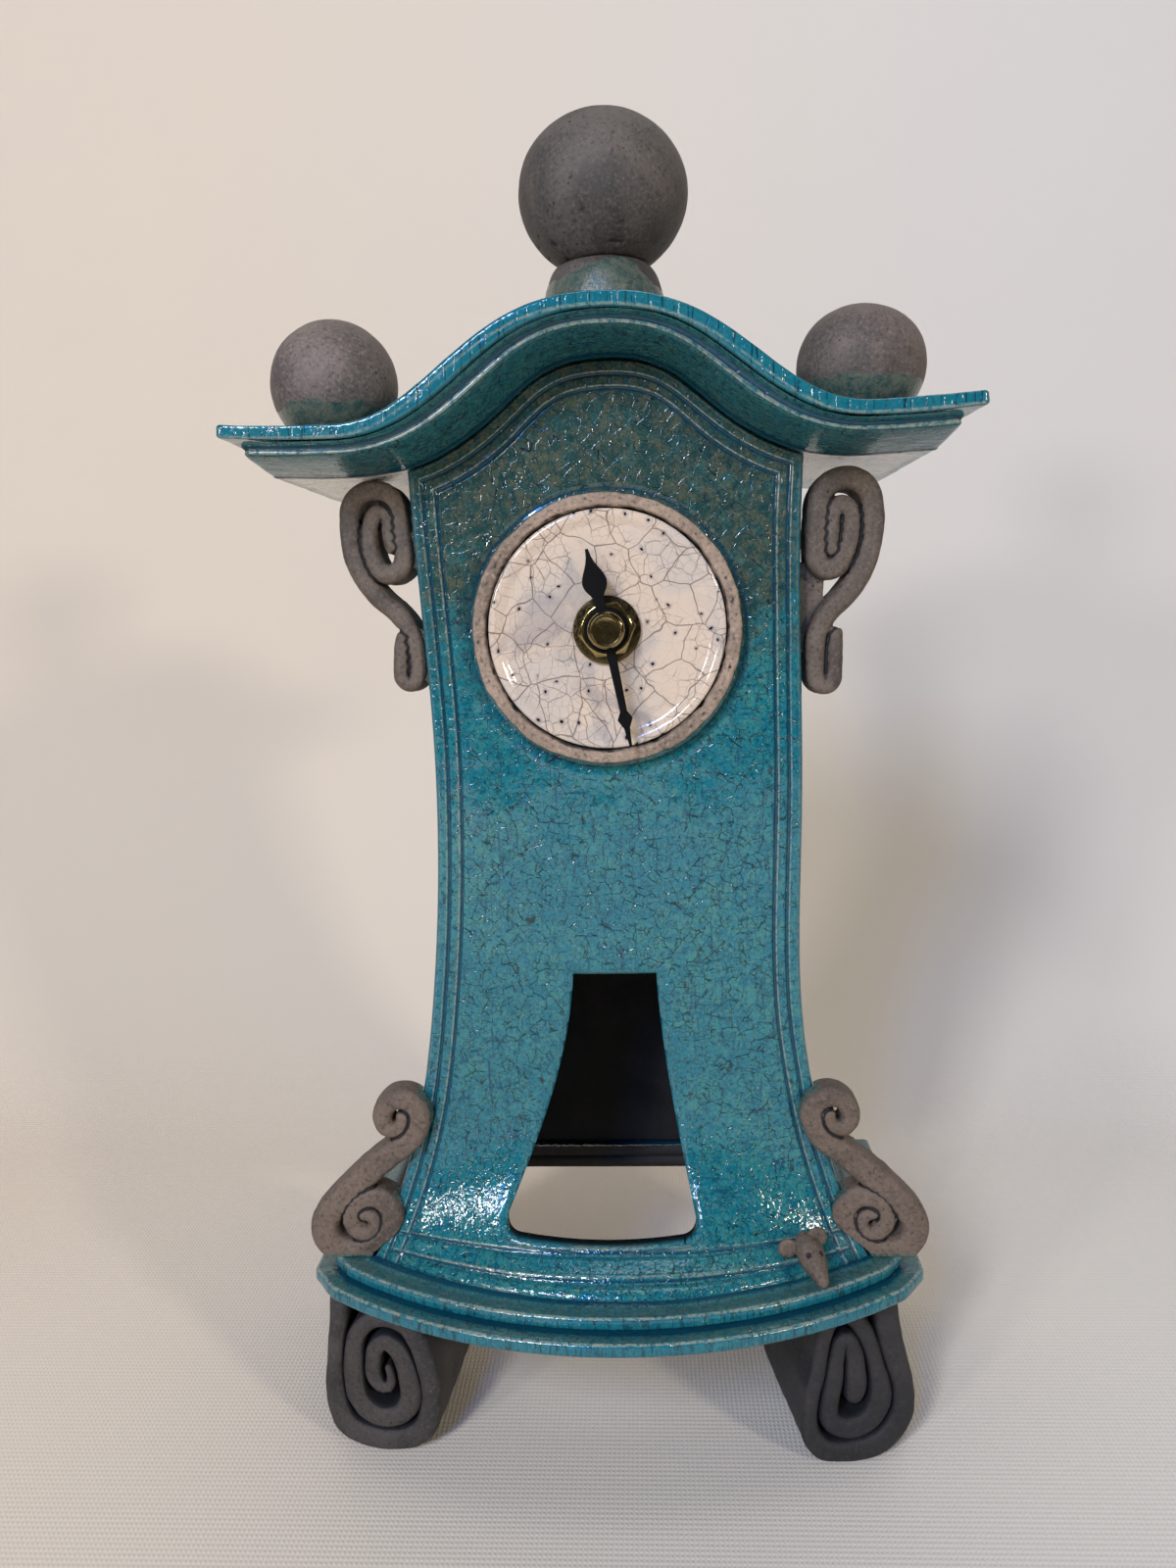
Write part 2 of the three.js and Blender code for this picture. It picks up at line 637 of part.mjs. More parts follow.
function foot() {
  const top = BASE_HEIGHT - SEAT_GAP;
  const line = footLine();
  const { x, z, angle } = line[0];
  const rise = (top + FOOT_STRAP - z) / Math.abs(Math.sin(angle));
  line[0].x = x - rise * Math.cos(angle);
  line[0].z = z - rise * Math.sin(angle);
  const coil = strap(line, [FOOT_STRAP, FOOT_STRAP, FOOT_STRAP], 0, FOOT_DEPTH);
  const wide = 2 * BASE_HALF;
  const block = (z0, z1) => new THREE.BoxGeometry(wide, 4 * FOOT_DEPTH, z1 - z0).translate(0, 0, (z0 + z1) / 2);
  return cut(coil, block(top, 2 * BASE_HEIGHT), block(-BASE_HEIGHT, 0));
}

const mirrorX = (bends) => bends.map(([length, turn]) => [length, -turn]);

const LOWER_RIGHT_SCROLL = {
  start: [2 * LOWER_SCROLL_MIRROR - LOWER_LEFT_SCROLL.start[0], LOWER_LEFT_SCROLL.start[1]],
  heading: 180 - LOWER_LEFT_SCROLL.heading,
  bends: mirrorX(LOWER_LEFT_SCROLL.bends),
  strap: LOWER_LEFT_SCROLL.strap,
};

// A scroll is trimmed where it meets the case wall, the roof and the base.
function scroll(design, front, depth) {
  const bare = strap(strapLine(design), design.strap, front, front + depth);
  const pad = design.lute ? slabY(rectangle(...design.lute), front + LUTE_SETBACK, front + depth) : null;
  const raw = pad ? join(bare, pad) : bare;
  const reach = ROOF_LENGTH;
  const caseFront = panelGrid(-SEAT_GAP, SEAT_GAP);
  const caseBack = caseFront.map((row) => row.map(([x, , z]) => [x, BACK_FRONT, z]));
  const under = roofStations(reach / 2, 24).map((x) => [x, roofHeight(x, ROOF_BUILD) - SEAT_GAP]);
  const roofBlock = slabY(outline([...under, [reach, 2 * reach], [-reach, 2 * reach]]), -BASE_FRONT, BACK_FRONT);
  const floor = new THREE.BoxGeometry(2 * reach, 2 * reach, WALL_FOOT).translate(0, 0, WALL_FOOT / 2);
  return cut(raw, sheet(caseFront, caseBack), roofBlock, floor);
}

// Balls
function ballProfile(radius, flat, count) {
  const lowest = -radius + flat;
  const start = Math.asin(lowest / radius);
  const rounded = steps(count, start, Math.PI / 2).map((angle) => [radius * Math.cos(angle), radius * Math.sin(angle)]);
  rounded[rounded.length - 1] = [0, radius];
  return [[0, lowest], ...rounded];
}

function sideBall(x, squash) {
  const seat = Math.max(roofTop(x - SIDE_BALL_RADIUS / 3), roofTop(x + SIDE_BALL_RADIUS / 3)) + SEAT_GAP;
  return turnZ(ballProfile(SIDE_BALL_RADIUS, BALL_FLAT, 9), 18)
    .translate(0, 0, SIDE_BALL_RADIUS - BALL_FLAT)
    .scale(1, 1, squash)
    .translate(x, SIDE_BALL_Y, seat);
}

function topBall() {
  const flat = TOP_BALL_RADIUS - Math.sqrt(TOP_BALL_RADIUS ** 2 - TOP_BALL_NECK ** 2);
  return turnZ(ballProfile(TOP_BALL_RADIUS, flat, 10), 20)
    .translate(0, 0, TOP_BALL_RADIUS - flat)
    .scale(1, 1, TOP_BALL_SQUASH)
    .translate(TOP_BALL_X, TOP_BALL_Y, COLLAR_TOP + SEAT_GAP);
}

// A low dome whose foot is cut to the crown of the roof.
function collar() {
  const crown = roofTop(0);
  const rise = COLLAR_TOP - crown;
  const dome = steps(4, 0, 1).map((t) => [
    COLLAR_RADIUS - (COLLAR_RADIUS - COLLAR_TOP_RADIUS) * t * t,
    crown + rise * Math.sin((t * Math.PI) / 2) ** 0.9,
  ]);
  const profile = [[0, crown - COLLAR_SKIRT], [COLLAR_RADIUS, crown - COLLAR_SKIRT], ...dome, [0, COLLAR_TOP]];
  const stations = roofStations(2 * COLLAR_RADIUS, 24).map((x) => [x, roofTop(x) + SEAT_GAP]);
  const low = crown - 2 * COLLAR_SKIRT;
  const roofBlock = outline([...stations, [2 * COLLAR_RADIUS, low], [-2 * COLLAR_RADIUS, low]]);
  return cut(
    turnZ(profile, 24).translate(TOP_BALL_X / 2, TOP_BALL_Y, 0),
    slabY(roofBlock, TOP_BALL_Y - 2 * COLLAR_RADIUS, TOP_BALL_Y + 2 * COLLAR_RADIUS),
  );
}

// Dial, in the plane of the front panel, about the Y axis
function dialRing() {
  const inner = RING_RADIUS - RING_WIDTH;
  const round = 0.9;
  return turnY([
    [inner, -SEAT_GAP],
    [inner, -RING_PROUD + round],
    [inner + round, -RING_PROUD],
    [RING_RADIUS - round, -RING_PROUD],
    [RING_RADIUS, -RING_PROUD + round],
    [RING_RADIUS, -SEAT_GAP],
    [inner, -SEAT_GAP],
  ], 36);
}

function dialDisc() {
  const edge = RING_RADIUS - RING_WIDTH - DIAL_GAP;
  const hole = BUSHING_RADIUS + 2 * RUN_GAP;
  const face = -SEAT_GAP - DIAL_SLAB;
  return turnY([
    [hole, -SEAT_GAP],
    [hole, face],
    [edge - 4, face],
    [edge - 1.2, face - DIAL_LIP],
    [edge, face - DIAL_LIP],
    [edge, -SEAT_GAP],
    [hole, -SEAT_GAP],
  ], 36);
}

// Gears and hands
const polar = (radius, angle) => [radius * Math.cos(angle * DEGREE), radius * Math.sin(angle * DEGREE)];

// A gear of pointed teeth; a tooth centre lies at the angle turn, in degrees.
function gear(teeth, module, turn, y0, y1, bore = 0) {
  const pitch = (teeth * module) / 2;
  const tooth = 360 / teeth;
  const points = [];
  for (let i = 0; i < teeth; i += 1) {
    points.push(polar(pitch + ADDENDUM * module, turn + i * tooth));
    points.push(polar(pitch - DEDENDUM * module, turn + (i + 0.5) * tooth));
  }
  const shape = outline(points);
  if (bore > 0) shape.holes.push(new THREE.Path().absarc(0, 0, bore, 0, 2 * Math.PI, true));
  return slabY(shape, y0, y1);
}

// The turn that sets a gear in mesh with a gear that lies at the given direction from it.
function meshTurn(teeth, direction, otherTeeth, otherTurn) {
  const towards = direction + 180;
  const phase = (((towards - otherTurn) * otherTeeth) / 360) % 1;
  return direction - ((0.5 - phase) * 360) / teeth;
}

const centreDistance = (module, teeth, otherTeeth) => (module * (teeth + otherTeeth)) / 2;

const shifted = ([x, z], distance, angle) => {
  const [dx, dz] = polar(distance, angle);
  return [x + dx, z + dz];
};

function hourHandShape() {
  const [tip, bulb, at] = [HOUR_HAND_LENGTH, HOUR_BULB, HOUR_BULB_AT];
  const stem = 1.2;
  const shape = new THREE.Shape();
  shape.moveTo(0.35, tip);
  shape.bezierCurveTo(0.6, at + 3.5, bulb * 0.9, at + 2.6, bulb, at);
  shape.bezierCurveTo(bulb, at - 2.4, stem, at - 2.6, stem, at - 4.6);
  shape.lineTo(stem, 0);
  shape.lineTo(-stem, 0);
  shape.lineTo(-stem, at - 4.6);
  shape.bezierCurveTo(-stem, at - 2.6, -bulb, at - 2.4, -bulb, at);
  shape.bezierCurveTo(-bulb * 0.9, at + 2.6, -0.6, at + 3.5, -0.35, tip);
  return shape;
}

function minuteHandShape() {
  const [tip, spear, at] = [MINUTE_HAND_LENGTH, MINUTE_SPEAR, MINUTE_SPEAR_AT];
  const [stem, waist] = [1.2, 0.85];
  return outline([
    [0.3, tip], [0.7, at + 2.2], [spear, at], [waist, at - 1.8], [stem, 0],
    [-stem, 0], [-waist, at - 1.8], [-spear, at], [-0.7, at + 2.2], [-0.3, tip],
  ]);
}

// A hand with its hub, bored for its pipe or arbor and turned clockwise from twelve.
function hand(shape, hub, bore, y0, angle) {
  const blade = join(slabY(shape, y0, y0 + HAND), disc(hub, y0, y0 + HAND, 24));
  return cut(blade, disc(bore, y0 - 1, y0 + HAND + 1, 20)).rotateY(angle * DEGREE);
}

// Places in the movement
const MOVEMENT_FRONT = SEAT_GAP + GASKET + SEAT_GAP;
const FLOOR = MOVEMENT_FRONT + MOVEMENT_PLATE; // inner face of the front plate
const MOVEMENT_REAR = MOVEMENT_FRONT + MOVEMENT_DEPTH;
const COVER_FACE = MOVEMENT_REAR - MOVEMENT_WALL; // inner face of the cover
const layer = (depth) => FLOOR + depth;
const ARBOR = [0, 0];
const MOTION_DISTANCE = centreDistance(MOTION_MODULE, MINUTE_TEETH, MOTION_TEETH);
const MOTION_POST = shifted(ARBOR, MOTION_DISTANCE, MOTION_ANGLE);
const SETTING_POST = shifted(MOTION_POST, MOTION_DISTANCE, SETTING_ANGLE);
const THIRD_POST = shifted(ARBOR, centreDistance(CENTRE_MODULE, PINION_TEETH, CENTRE_TEETH), THIRD_ANGLE);
const SECONDS_POST = shifted(THIRD_POST, centreDistance(TRAIN_MODULE, PINION_TEETH, THIRD_TEETH), SECONDS_ANGLE);
const INTERMEDIATE_POST = shifted(
  SECONDS_POST,
  centreDistance(TRAIN_MODULE, INTERMEDIATE_PINION_TEETH, SECONDS_TEETH),
  INTERMEDIATE_ANGLE,
);
const ROTOR_POST = shifted(
  INTERMEDIATE_POST,
  centreDistance(TRAIN_MODULE, PINION_TEETH, INTERMEDIATE_TEETH),
  ROTOR_ANGLE,
);

// The stator and its coil stand beside the rotor
const ROTOR_ROOM = MAGNET_RADIUS + STATOR_GAP;
const STATOR_LEFT = ROTOR_POST[0] - ROTOR_ROOM - STATOR_RIM;
const STATOR_WINDOW = ROTOR_POST[0] + ROTOR_ROOM + STATOR_RIM;
const STATOR_RIGHT = STATOR_WINDOW + COIL_LENGTH + 2 * COIL_ROOM + STATOR_ARM;
const COIL_AXIS = ROTOR_POST[1] + COIL_LIFT;
const STATOR_FOOT = COIL_AXIS - COIL_RADIUS - STATOR_GAP - STATOR_ARM / 2;

// The case is as wide as its battery with both contacts, or as its motor
const BATTERY_BAY = BATTERY_LENGTH + CONTACT_SPRING + 2 * CONTACT + 4 * SEAT_GAP;
const BAY_HALF = Math.max(BATTERY_BAY / 2, STATOR_RIGHT + COIL_ROOM, COIL_AXIS + COIL_RADIUS + COIL_ROOM);
const PARTITION_DROP = BAY_HALF - 2 * (BATTERY_RADIUS + SEAT_GAP); // from the arbor down to the battery bay

function movementCase() {
  const half = BAY_HALF + MOVEMENT_WALL;
  const body = slabY(rectangle(-half, half, -half, half), MOVEMENT_FRONT, MOVEMENT_REAR);
  const bay = (z0, z1) => slabY(rectangle(-BAY_HALF, BAY_HALF, z0, z1), FLOOR, MOVEMENT_REAR + 1);
  const shell = cut(
    body,
    bay(-PARTITION_DROP + PARTITION, BAY_HALF),
    bay(-BAY_HALF, -PARTITION_DROP),
    disc(BUSHING_RADIUS + RUN_GAP, 0, FLOOR + 1, 24),
  );
  const motionPost = roundBar(POST_RADIUS, FLOOR - 1, layer(MINUTE_LAYER + GEAR + RUN_GAP), ...MOTION_POST, 10);
  const stand = (x) => roundBar(STATOR_ARM / 2, FLOOR - 1, layer(STATOR_LAYER) - SEAT_GAP, x, STATOR_FOOT, 10);
  return join(shell, motionPost, stand(STATOR_RIGHT - STATOR_ARM), stand(STATOR_WINDOW + STATOR_STAND));
}

function movementCover() {
  const edge = BAY_HALF - SEAT_GAP;
  const plate = slabY(rectangle(-edge, edge, -PARTITION_DROP + PARTITION + SEAT_GAP, edge), COVER_FACE, MOVEMENT_REAR);
  return cut(plate, roundBar(KNOB_SHAFT + RUN_GAP, COVER_FACE - 1, MOVEMENT_REAR + 1, ...SETTING_POST, 16));
}

// The hour wheel and the pipe that carries the hour hand through the bushing.
const HAND_FACE = -PANEL - BUSHING_END; // front end of the bushing, seen from the rear of the panel
const HOUR_HAND_FRONT = HAND_FACE - SEAT_GAP - HAND;
const HOUR_PIPE_FRONT = HOUR_HAND_FRONT - SEAT_GAP;
const MINUTE_HAND_FRONT = HOUR_PIPE_FRONT - SEAT_GAP - HAND;
const CAP_REAR = MINUTE_HAND_FRONT - SEAT_GAP;
const HOUR_BORE = HOUR_PIPE_RADIUS - HOUR_PIPE_WALL;

const MINUTE_TURN = 0;
const MOTION_TURN = meshTurn(MOTION_TEETH, MOTION_ANGLE + 180, MINUTE_TEETH, MINUTE_TURN);
const HOUR_TURN = meshTurn(HOUR_TEETH, MOTION_ANGLE, MOTION_PINION_TEETH, MOTION_TURN);
const SETTING_TURN = meshTurn(MINUTE_TEETH, SETTING_ANGLE + 180, MOTION_TEETH, MOTION_TURN);

function hourWheel() {
  const wheel = gear(HOUR_TEETH, MOTION_MODULE, HOUR_TURN, layer(HOUR_LAYER), layer(HOUR_LAYER + GEAR));
  const pipe = disc(HOUR_PIPE_RADIUS, HOUR_PIPE_FRONT, layer(HOUR_LAYER + GEAR), 20);
  return cut(join(wheel, pipe), disc(HOUR_BORE, HOUR_PIPE_FRONT - 1, layer(HOUR_LAYER + GEAR) + 1, 20));
}

function minuteArbor() {
  const pinion = gear(MINUTE_TEETH, MOTION_MODULE, MINUTE_TURN, layer(MINUTE_LAYER), layer(MINUTE_LAYER + GEAR));
  return join(disc(ARBOR_RADIUS, CAP_REAR - CAP / 2, COVER_FACE - SEAT_GAP, 16), pinion);
}

function motionWheel() {
  const wheel = gear(MOTION_TEETH, MOTION_MODULE, MOTION_TURN, layer(MINUTE_LAYER), layer(MINUTE_LAYER + GEAR));
  const pinion = gear(MOTION_PINION_TEETH, MOTION_MODULE, MOTION_TURN, layer(HOUR_LAYER), layer(MINUTE_LAYER + GEAR));
  return cut(join(wheel, pinion), disc(POST_RADIUS + RUN_GAP, FLOOR, layer(MINUTE_LAYER + 2 * GEAR), 12));
}

function settingKnob() {
  const pinion = gear(MINUTE_TEETH, MOTION_MODULE, SETTING_TURN, layer(MINUTE_LAYER), layer(MINUTE_LAYER + GEAR));
  const head = MOVEMENT_REAR + SEAT_GAP;
  return join(disc(KNOB_SHAFT, FLOOR + SEAT_GAP, head + KNOB, 12), pinion, disc(KNOB_RADIUS, head, head + KNOB, 20));
}

// The going train's wheels: each turns on a thin arbor between the plate and the cover
const CENTRE_TURN = 0;
const THIRD_TURN = meshTurn(PINION_TEETH, THIRD_ANGLE + 180, CENTRE_TEETH, CENTRE_TURN);
const SECONDS_TURN = meshTurn(PINION_TEETH, SECONDS_ANGLE + 180, THIRD_TEETH, THIRD_TURN);
const INTERMEDIATE_TURN = meshTurn(
  INTERMEDIATE_PINION_TEETH, INTERMEDIATE_ANGLE + 180, SECONDS_TEETH, SECONDS_TURN,
);
const ROTOR_TURN = meshTurn(PINION_TEETH, ROTOR_ANGLE + 180, INTERMEDIATE_TEETH, INTERMEDIATE_TURN);

const pivots = () => disc(PIVOT_RADIUS, FLOOR + SEAT_GAP, COVER_FACE - SEAT_GAP, 8);
const thinWheel = (teeth, module, turn, depth) => gear(teeth, module, turn, layer(depth), layer(depth + THIN_GEAR));
const pinionAt = (teeth, module, turn, depth) => {
  const middle = layer(depth + THIN_GEAR / 2);
  return gear(teeth, module, turn, middle - PINION / 2, middle + PINION / 2);
};

const centreWheel = () => gear(
  CENTRE_TEETH, CENTRE_MODULE, CENTRE_TURN, layer(CENTRE_LAYER), layer(CENTRE_LAYER + THIN_GEAR), ARBOR_RADIUS + RUN_GAP,
);
const thirdWheel = () => join(
  pivots(),
  thinWheel(THIRD_TEETH, TRAIN_MODULE, THIRD_TURN, THIRD_LAYER),
  pinionAt(PINION_TEETH, CENTRE_MODULE, THIRD_TURN, CENTRE_LAYER),
);
const secondsWheel = () => join(
  pivots(),
  thinWheel(SECONDS_TEETH, TRAIN_MODULE, SECONDS_TURN, SECONDS_LAYER),
  pinionAt(PINION_TEETH, TRAIN_MODULE, SECONDS_TURN, THIRD_LAYER),
);
const intermediateWheel = () => join(
  pivots(),
  thinWheel(INTERMEDIATE_TEETH, TRAIN_MODULE, INTERMEDIATE_TURN, INTERMEDIATE_LAYER),
  pinionAt(INTERMEDIATE_PINION_TEETH, TRAIN_MODULE, INTERMEDIATE_TURN, SECONDS_LAYER),
);
const rotor = () => {
  const middle = layer(STATOR_LAYER + STATOR / 2);
  return join(
    pivots(),
    disc(MAGNET_RADIUS, middle - MAGNET / 2, middle + MAGNET / 2, 16),
    pinionAt(PINION_TEETH, TRAIN_MODULE, ROTOR_TURN, INTERMEDIATE_LAYER),
  );
};

// The stator: a plate with a round hole for the rotor and a window that clears the coil
function stator() {
  const lower = STATOR_FOOT - STATOR_ARM / 2;
  const bar = COIL_AXIS + STATOR_ARM / 2;
  const top = ROTOR_POST[1] + ROTOR_ROOM + STATOR_RIM;
  const shape = outline([
    [STATOR_LEFT, lower], [STATOR_RIGHT, lower], [STATOR_RIGHT, bar],
    [STATOR_WINDOW, bar], [STATOR_WINDOW, top], [STATOR_LEFT, top],
  ]);
  shape.holes.push(new THREE.Path().absarc(...ROTOR_POST, ROTOR_ROOM, 0, 2 * Math.PI, true));
  shape.holes.push(rectangle(STATOR_WINDOW, STATOR_RIGHT - STATOR_ARM, lower + STATOR_ARM, COIL_AXIS - STATOR_ARM / 2));
  return slabY(shape, layer(STATOR_LAYER), layer(STATOR_LAYER + STATOR));
}

// The coil: a wound bobbin with a flange at each end, slipped over the stator's upper bar.
function coil() {
  const half = COIL_LENGTH / 2;
  const flange = 0.8;
  const wound = COIL_RADIUS - 0.6;
  return turnY([
    [COIL_BORE, -half], [COIL_RADIUS, -half], [COIL_RADIUS, -half + flange], [wound, -half + flange],
    [wound, half - flange], [COIL_RADIUS, half - flange], [COIL_RADIUS, half], [COIL_BORE, half],
    [COIL_BORE, -half],
  ], 14)
    .rotateZ(Math.PI / 2)
    .translate(STATOR_WINDOW + COIL_ROOM + half, layer(STATOR_LAYER + STATOR / 2), COIL_AXIS);
}

function circuitBoard() {
  const rear = COVER_FACE - SEAT_GAP;
  const right = BAY_HALF - SEAT_GAP;
  const low = -PARTITION_DROP + PARTITION + SEAT_GAP;
  const board = slabY(rectangle(right - BOARD_WIDTH, right, low, low + BOARD_HEIGHT), rear - BOARD, rear);
  const chip = disc(CHIP_RADIUS, rear - BOARD - CHIP, rear - BOARD / 2, 12);
  return join(board, chip.translate(right - BOARD_WIDTH / 2, 0, low + BOARD_HEIGHT / 2));
}

// Battery bay: an AA cell between a sprung contact and a flat one
const BATTERY_Z = (-PARTITION_DROP - BAY_HALF) / 2;
const BATTERY_Y = FLOOR + SEAT_GAP + BATTERY_RADIUS;
const BATTERY_X = BAY_HALF - SEAT_GAP - CONTACT - SEAT_GAP;
const alongX = (geometry) => geometry.rotateZ(-Math.PI / 2).translate(0, BATTERY_Y, BATTERY_Z);

function battery() {
  const body = BATTERY_X - BATTERY_NUB;
  return alongX(turnY([
    [0, BATTERY_X - BATTERY_LENGTH], [BATTERY_RADIUS, BATTERY_X - BATTERY_LENGTH], [BATTERY_RADIUS, body],
    [BATTERY_NUB_RADIUS, body], [BATTERY_NUB_RADIUS, BATTERY_X], [0, BATTERY_X],
  ], 20));
}

function contact(x0, x1) {
  const size = 2 * BATTERY_RADIUS - 2;
  return new THREE.BoxGeometry(x1 - x0, size, size).translate((x0 + x1) / 2, BATTERY_Y, BATTERY_Z);
}

const plusContact = () => contact(BAY_HALF - SEAT_GAP - CONTACT, BAY_HALF - SEAT_GAP);

function minusContact() {
  const wall = -BAY_HALF + SEAT_GAP;
  const end = BATTERY_X - BATTERY_LENGTH - SEAT_GAP;
  const spring = alongX(turnY([[0, wall], [4, wall], [2.4, end], [0, end]], 12));
  return join(contact(wall, wall + CONTACT), spring);
}

// The mouse head: a tapered snout with two round ears
function mouseHead() {
  const nose = new THREE.Vector3(...MOUSE_NOSE);
  const back = new THREE.Vector3(...MOUSE_BACK);
  const direction = nose.clone().sub(back);
  const length = direction.length();
  const profile = steps(7, 0, 1).map((t) => {
    const swell = Math.sqrt(Math.min(1, t * 6)) * (1 - t) ** 0.8 + 0.28 * Math.sqrt(Math.max(0, t - t * t));
    return [MOUSE_RADIUS * swell, t * length];
  });
  profile[0] = [0, 0];
  profile[profile.length - 1] = [0, length];
  const turn = new THREE.Quaternion().setFromUnitVectors(new THREE.Vector3(0, 1, 0), direction.normalize());
  const place = new THREE.Matrix4().compose(back, turn, new THREE.Vector3(1, 1, 1));
  const head = turnY(profile, 12).applyMatrix4(place);
  const ears = MOUSE_EARS.map((place) => disc(EAR_RADIUS, -EAR / 2, EAR / 2, 12).translate(...place));
  return join(head, ...ears);
}

// Assembly
const clock = new THREE.Group();
const pottery = new THREE.Group();
pottery.position.set(-ROOF_SHIFT, (BASE_FRONT - ROOF_REAR) / 2, 0);
clock.add(pottery);

const dial = new THREE.Group();
dial.position.z = DIAL_HEIGHT;
pottery.add(dial);

const movement = new THREE.Group();
movement.position.set(0, PANEL, DIAL_HEIGHT);
pottery.add(movement);

function add(group, name, geometry, material, place = [0, 0, 0], yaw = 0) {
  const mesh = new THREE.Mesh(geometry, material());
  mesh.name = name;
  mesh.position.set(...place);
  mesh.rotation.z = yaw * DEGREE;
  group.add(mesh);
  return mesh;
}

add(pottery, "front_panel", frontPanel(), turquoiseGlaze);
add(pottery, "left_side_wall", sideWall(-1), turquoiseGlaze);
add(pottery, "right_side_wall", sideWall(1), turquoiseGlaze);
add(pottery, "back_panel", backPanel(), smokedClay);
add(pottery, "roof_slab", roofSlab(), turquoiseGlaze);
add(pottery, "roof_cornice", roofCornice(), turquoiseGlaze);
const plate = baseFrame(0, BASE_HEIGHT, BASE_HEIGHT + BASE_PLATE);
const step = baseFrame(BASE_SETBACK, STEP_TOP - BASE_STEP, STEP_TOP);
add(pottery, "base_plate", plate, turquoiseGlaze, [BASE_SHIFT, 0, 0]);
add(pottery, "base_step", step, turquoiseGlaze, [BASE_SHIFT, 0, 0]);

const footPlaces = [
  ["front_left_foot", FRONT_LEFT_FOOT],
  ["front_right_foot", FRONT_RIGHT_FOOT],
  ["rear_left_foot", REAR_LEFT_FOOT],
  ["rear_right_foot", REAR_RIGHT_FOOT],
];
for (const [name, [x, y, yaw]] of footPlaces) {
  const geometry = foot();
  if (name.startsWith("rear")) geometry.scale(...REAR_FOOT_SCALE);
  if (x > 0) {
    geometry.scale(-1, 1, 1);
    geometry.index.array.reverse();
  }
  add(pottery, name, geometry, smokedClay, [x, y, 0], yaw);
}

add(pottery, "left_upper_scroll", scroll(UPPER_LEFT_SCROLL, UPPER_SCROLL_FRONT, UPPER_SCROLL_DEPTH), smokedClay);
add(pottery, "right_upper_scroll", scroll(UPPER_RIGHT_SCROLL, UPPER_SCROLL_FRONT, UPPER_SCROLL_DEPTH), smokedClay);
add(pottery, "left_lower_scroll", scroll(LOWER_LEFT_SCROLL, LOWER_SCROLL_FRONT, LOWER_SCROLL_DEPTH), smokedClay);
add(pottery, "right_lower_scroll", scroll(LOWER_RIGHT_SCROLL, LOWER_SCROLL_FRONT, LOWER_SCROLL_DEPTH), smokedClay);
const [leftEnd, rightEnd] = [ROOF_SHIFT - ROOF_LENGTH / 2, ROOF_SHIFT + ROOF_LENGTH / 2];
add(pottery, "left_ball", sideBall(leftEnd + LEFT_BALL_INSET, 1), smokedClay);
add(pottery, "right_ball", sideBall(rightEnd - RIGHT_BALL_INSET, RIGHT_BALL_SQUASH), smokedClay);
add(pottery, "top_ball_collar", collar(), smokedClay);
add(pottery, "top_ball", topBall(), smokedClay);
add(pottery, "mouse_head", mouseHead(), smokedClay);

add(dial, "dial_ring", dialRing(), smokedClay);
add(dial, "dial_disc", dialDisc(), crackleWhite);

const dialFace = -PANEL - SEAT_GAP - DIAL_SLAB; // front of the dial, seen from the rear of the panel
const washerFront = dialFace - SEAT_GAP - WASHER;
const nutFront = washerFront - SEAT_GAP - NUT;
const nutShape = outline(steps(5, 0, 300).map((angle) => polar(NUT_FLATS / Math.sqrt(3), angle + NUT_TURN)));
const nut = cut(slabY(nutShape, nutFront, nutFront + NUT), disc(BUSHING_RADIUS + RUN_GAP, nutFront - 1, 0, 24));
const pipeBore = HOUR_PIPE_RADIUS + SEAT_GAP;
const arborBore = ARBOR_RADIUS + SEAT_GAP;
const cap = turnY([
  [0, CAP_REAR - CAP], [CAP_RADIUS * 0.6, CAP_REAR - CAP], [CAP_RADIUS, CAP_REAR - CAP * 0.7], [CAP_RADIUS, CAP_REAR],
  [arborBore, CAP_REAR], [arborBore, CAP_REAR - CAP / 2 - SEAT_GAP], [0, CAP_REAR - CAP / 2 - SEAT_GAP],
], 24);

add(movement, "rubber_washer", ring(BUSHING_RADIUS + RUN_GAP, GASKET_RADIUS, SEAT_GAP, SEAT_GAP + GASKET), rubber);
add(movement, "brass_washer", ring(BUSHING_RADIUS + RUN_GAP, WASHER_RADIUS, washerFront, washerFront + WASHER), brass);
add(movement, "hex_nut", nut, brass);
add(movement, "threaded_bushing", ring(HOUR_PIPE_RADIUS + RUN_GAP, BUSHING_RADIUS, HAND_FACE, FLOOR, 24), brass);
add(movement, "hour_hand", hand(hourHandShape(), HOUR_HUB, pipeBore, HOUR_HAND_FRONT, HOUR_HAND_ANGLE), blackLacquer);
add(movement, "minute_hand", hand(minuteHandShape(), MINUTE_HUB, arborBore, MINUTE_HAND_FRONT, MINUTE_HAND_ANGLE), blackLacquer);
add(movement, "cap_nut", cap, brass);
add(movement, "movement_case", movementCase(), blackPlastic);
add(movement, "movement_cover", movementCover(), blackPlastic);
add(movement, "hour_wheel", hourWheel(), wheelPlastic);
add(movement, "minute_arbor", minuteArbor(), steel);
add(movement, "centre_wheel", centreWheel(), wheelPlastic);
add(movement, "stator", stator(), steel);
add(movement, "coil", coil(), copper);
add(movement, "circuit_board", circuitBoard(), boardGreen);
add(movement, "battery", battery(), batteryJacket);
add(movement, "battery_plus_contact", plusContact(), steel);
add(movement, "battery_minus_contact", minusContact(), steel);

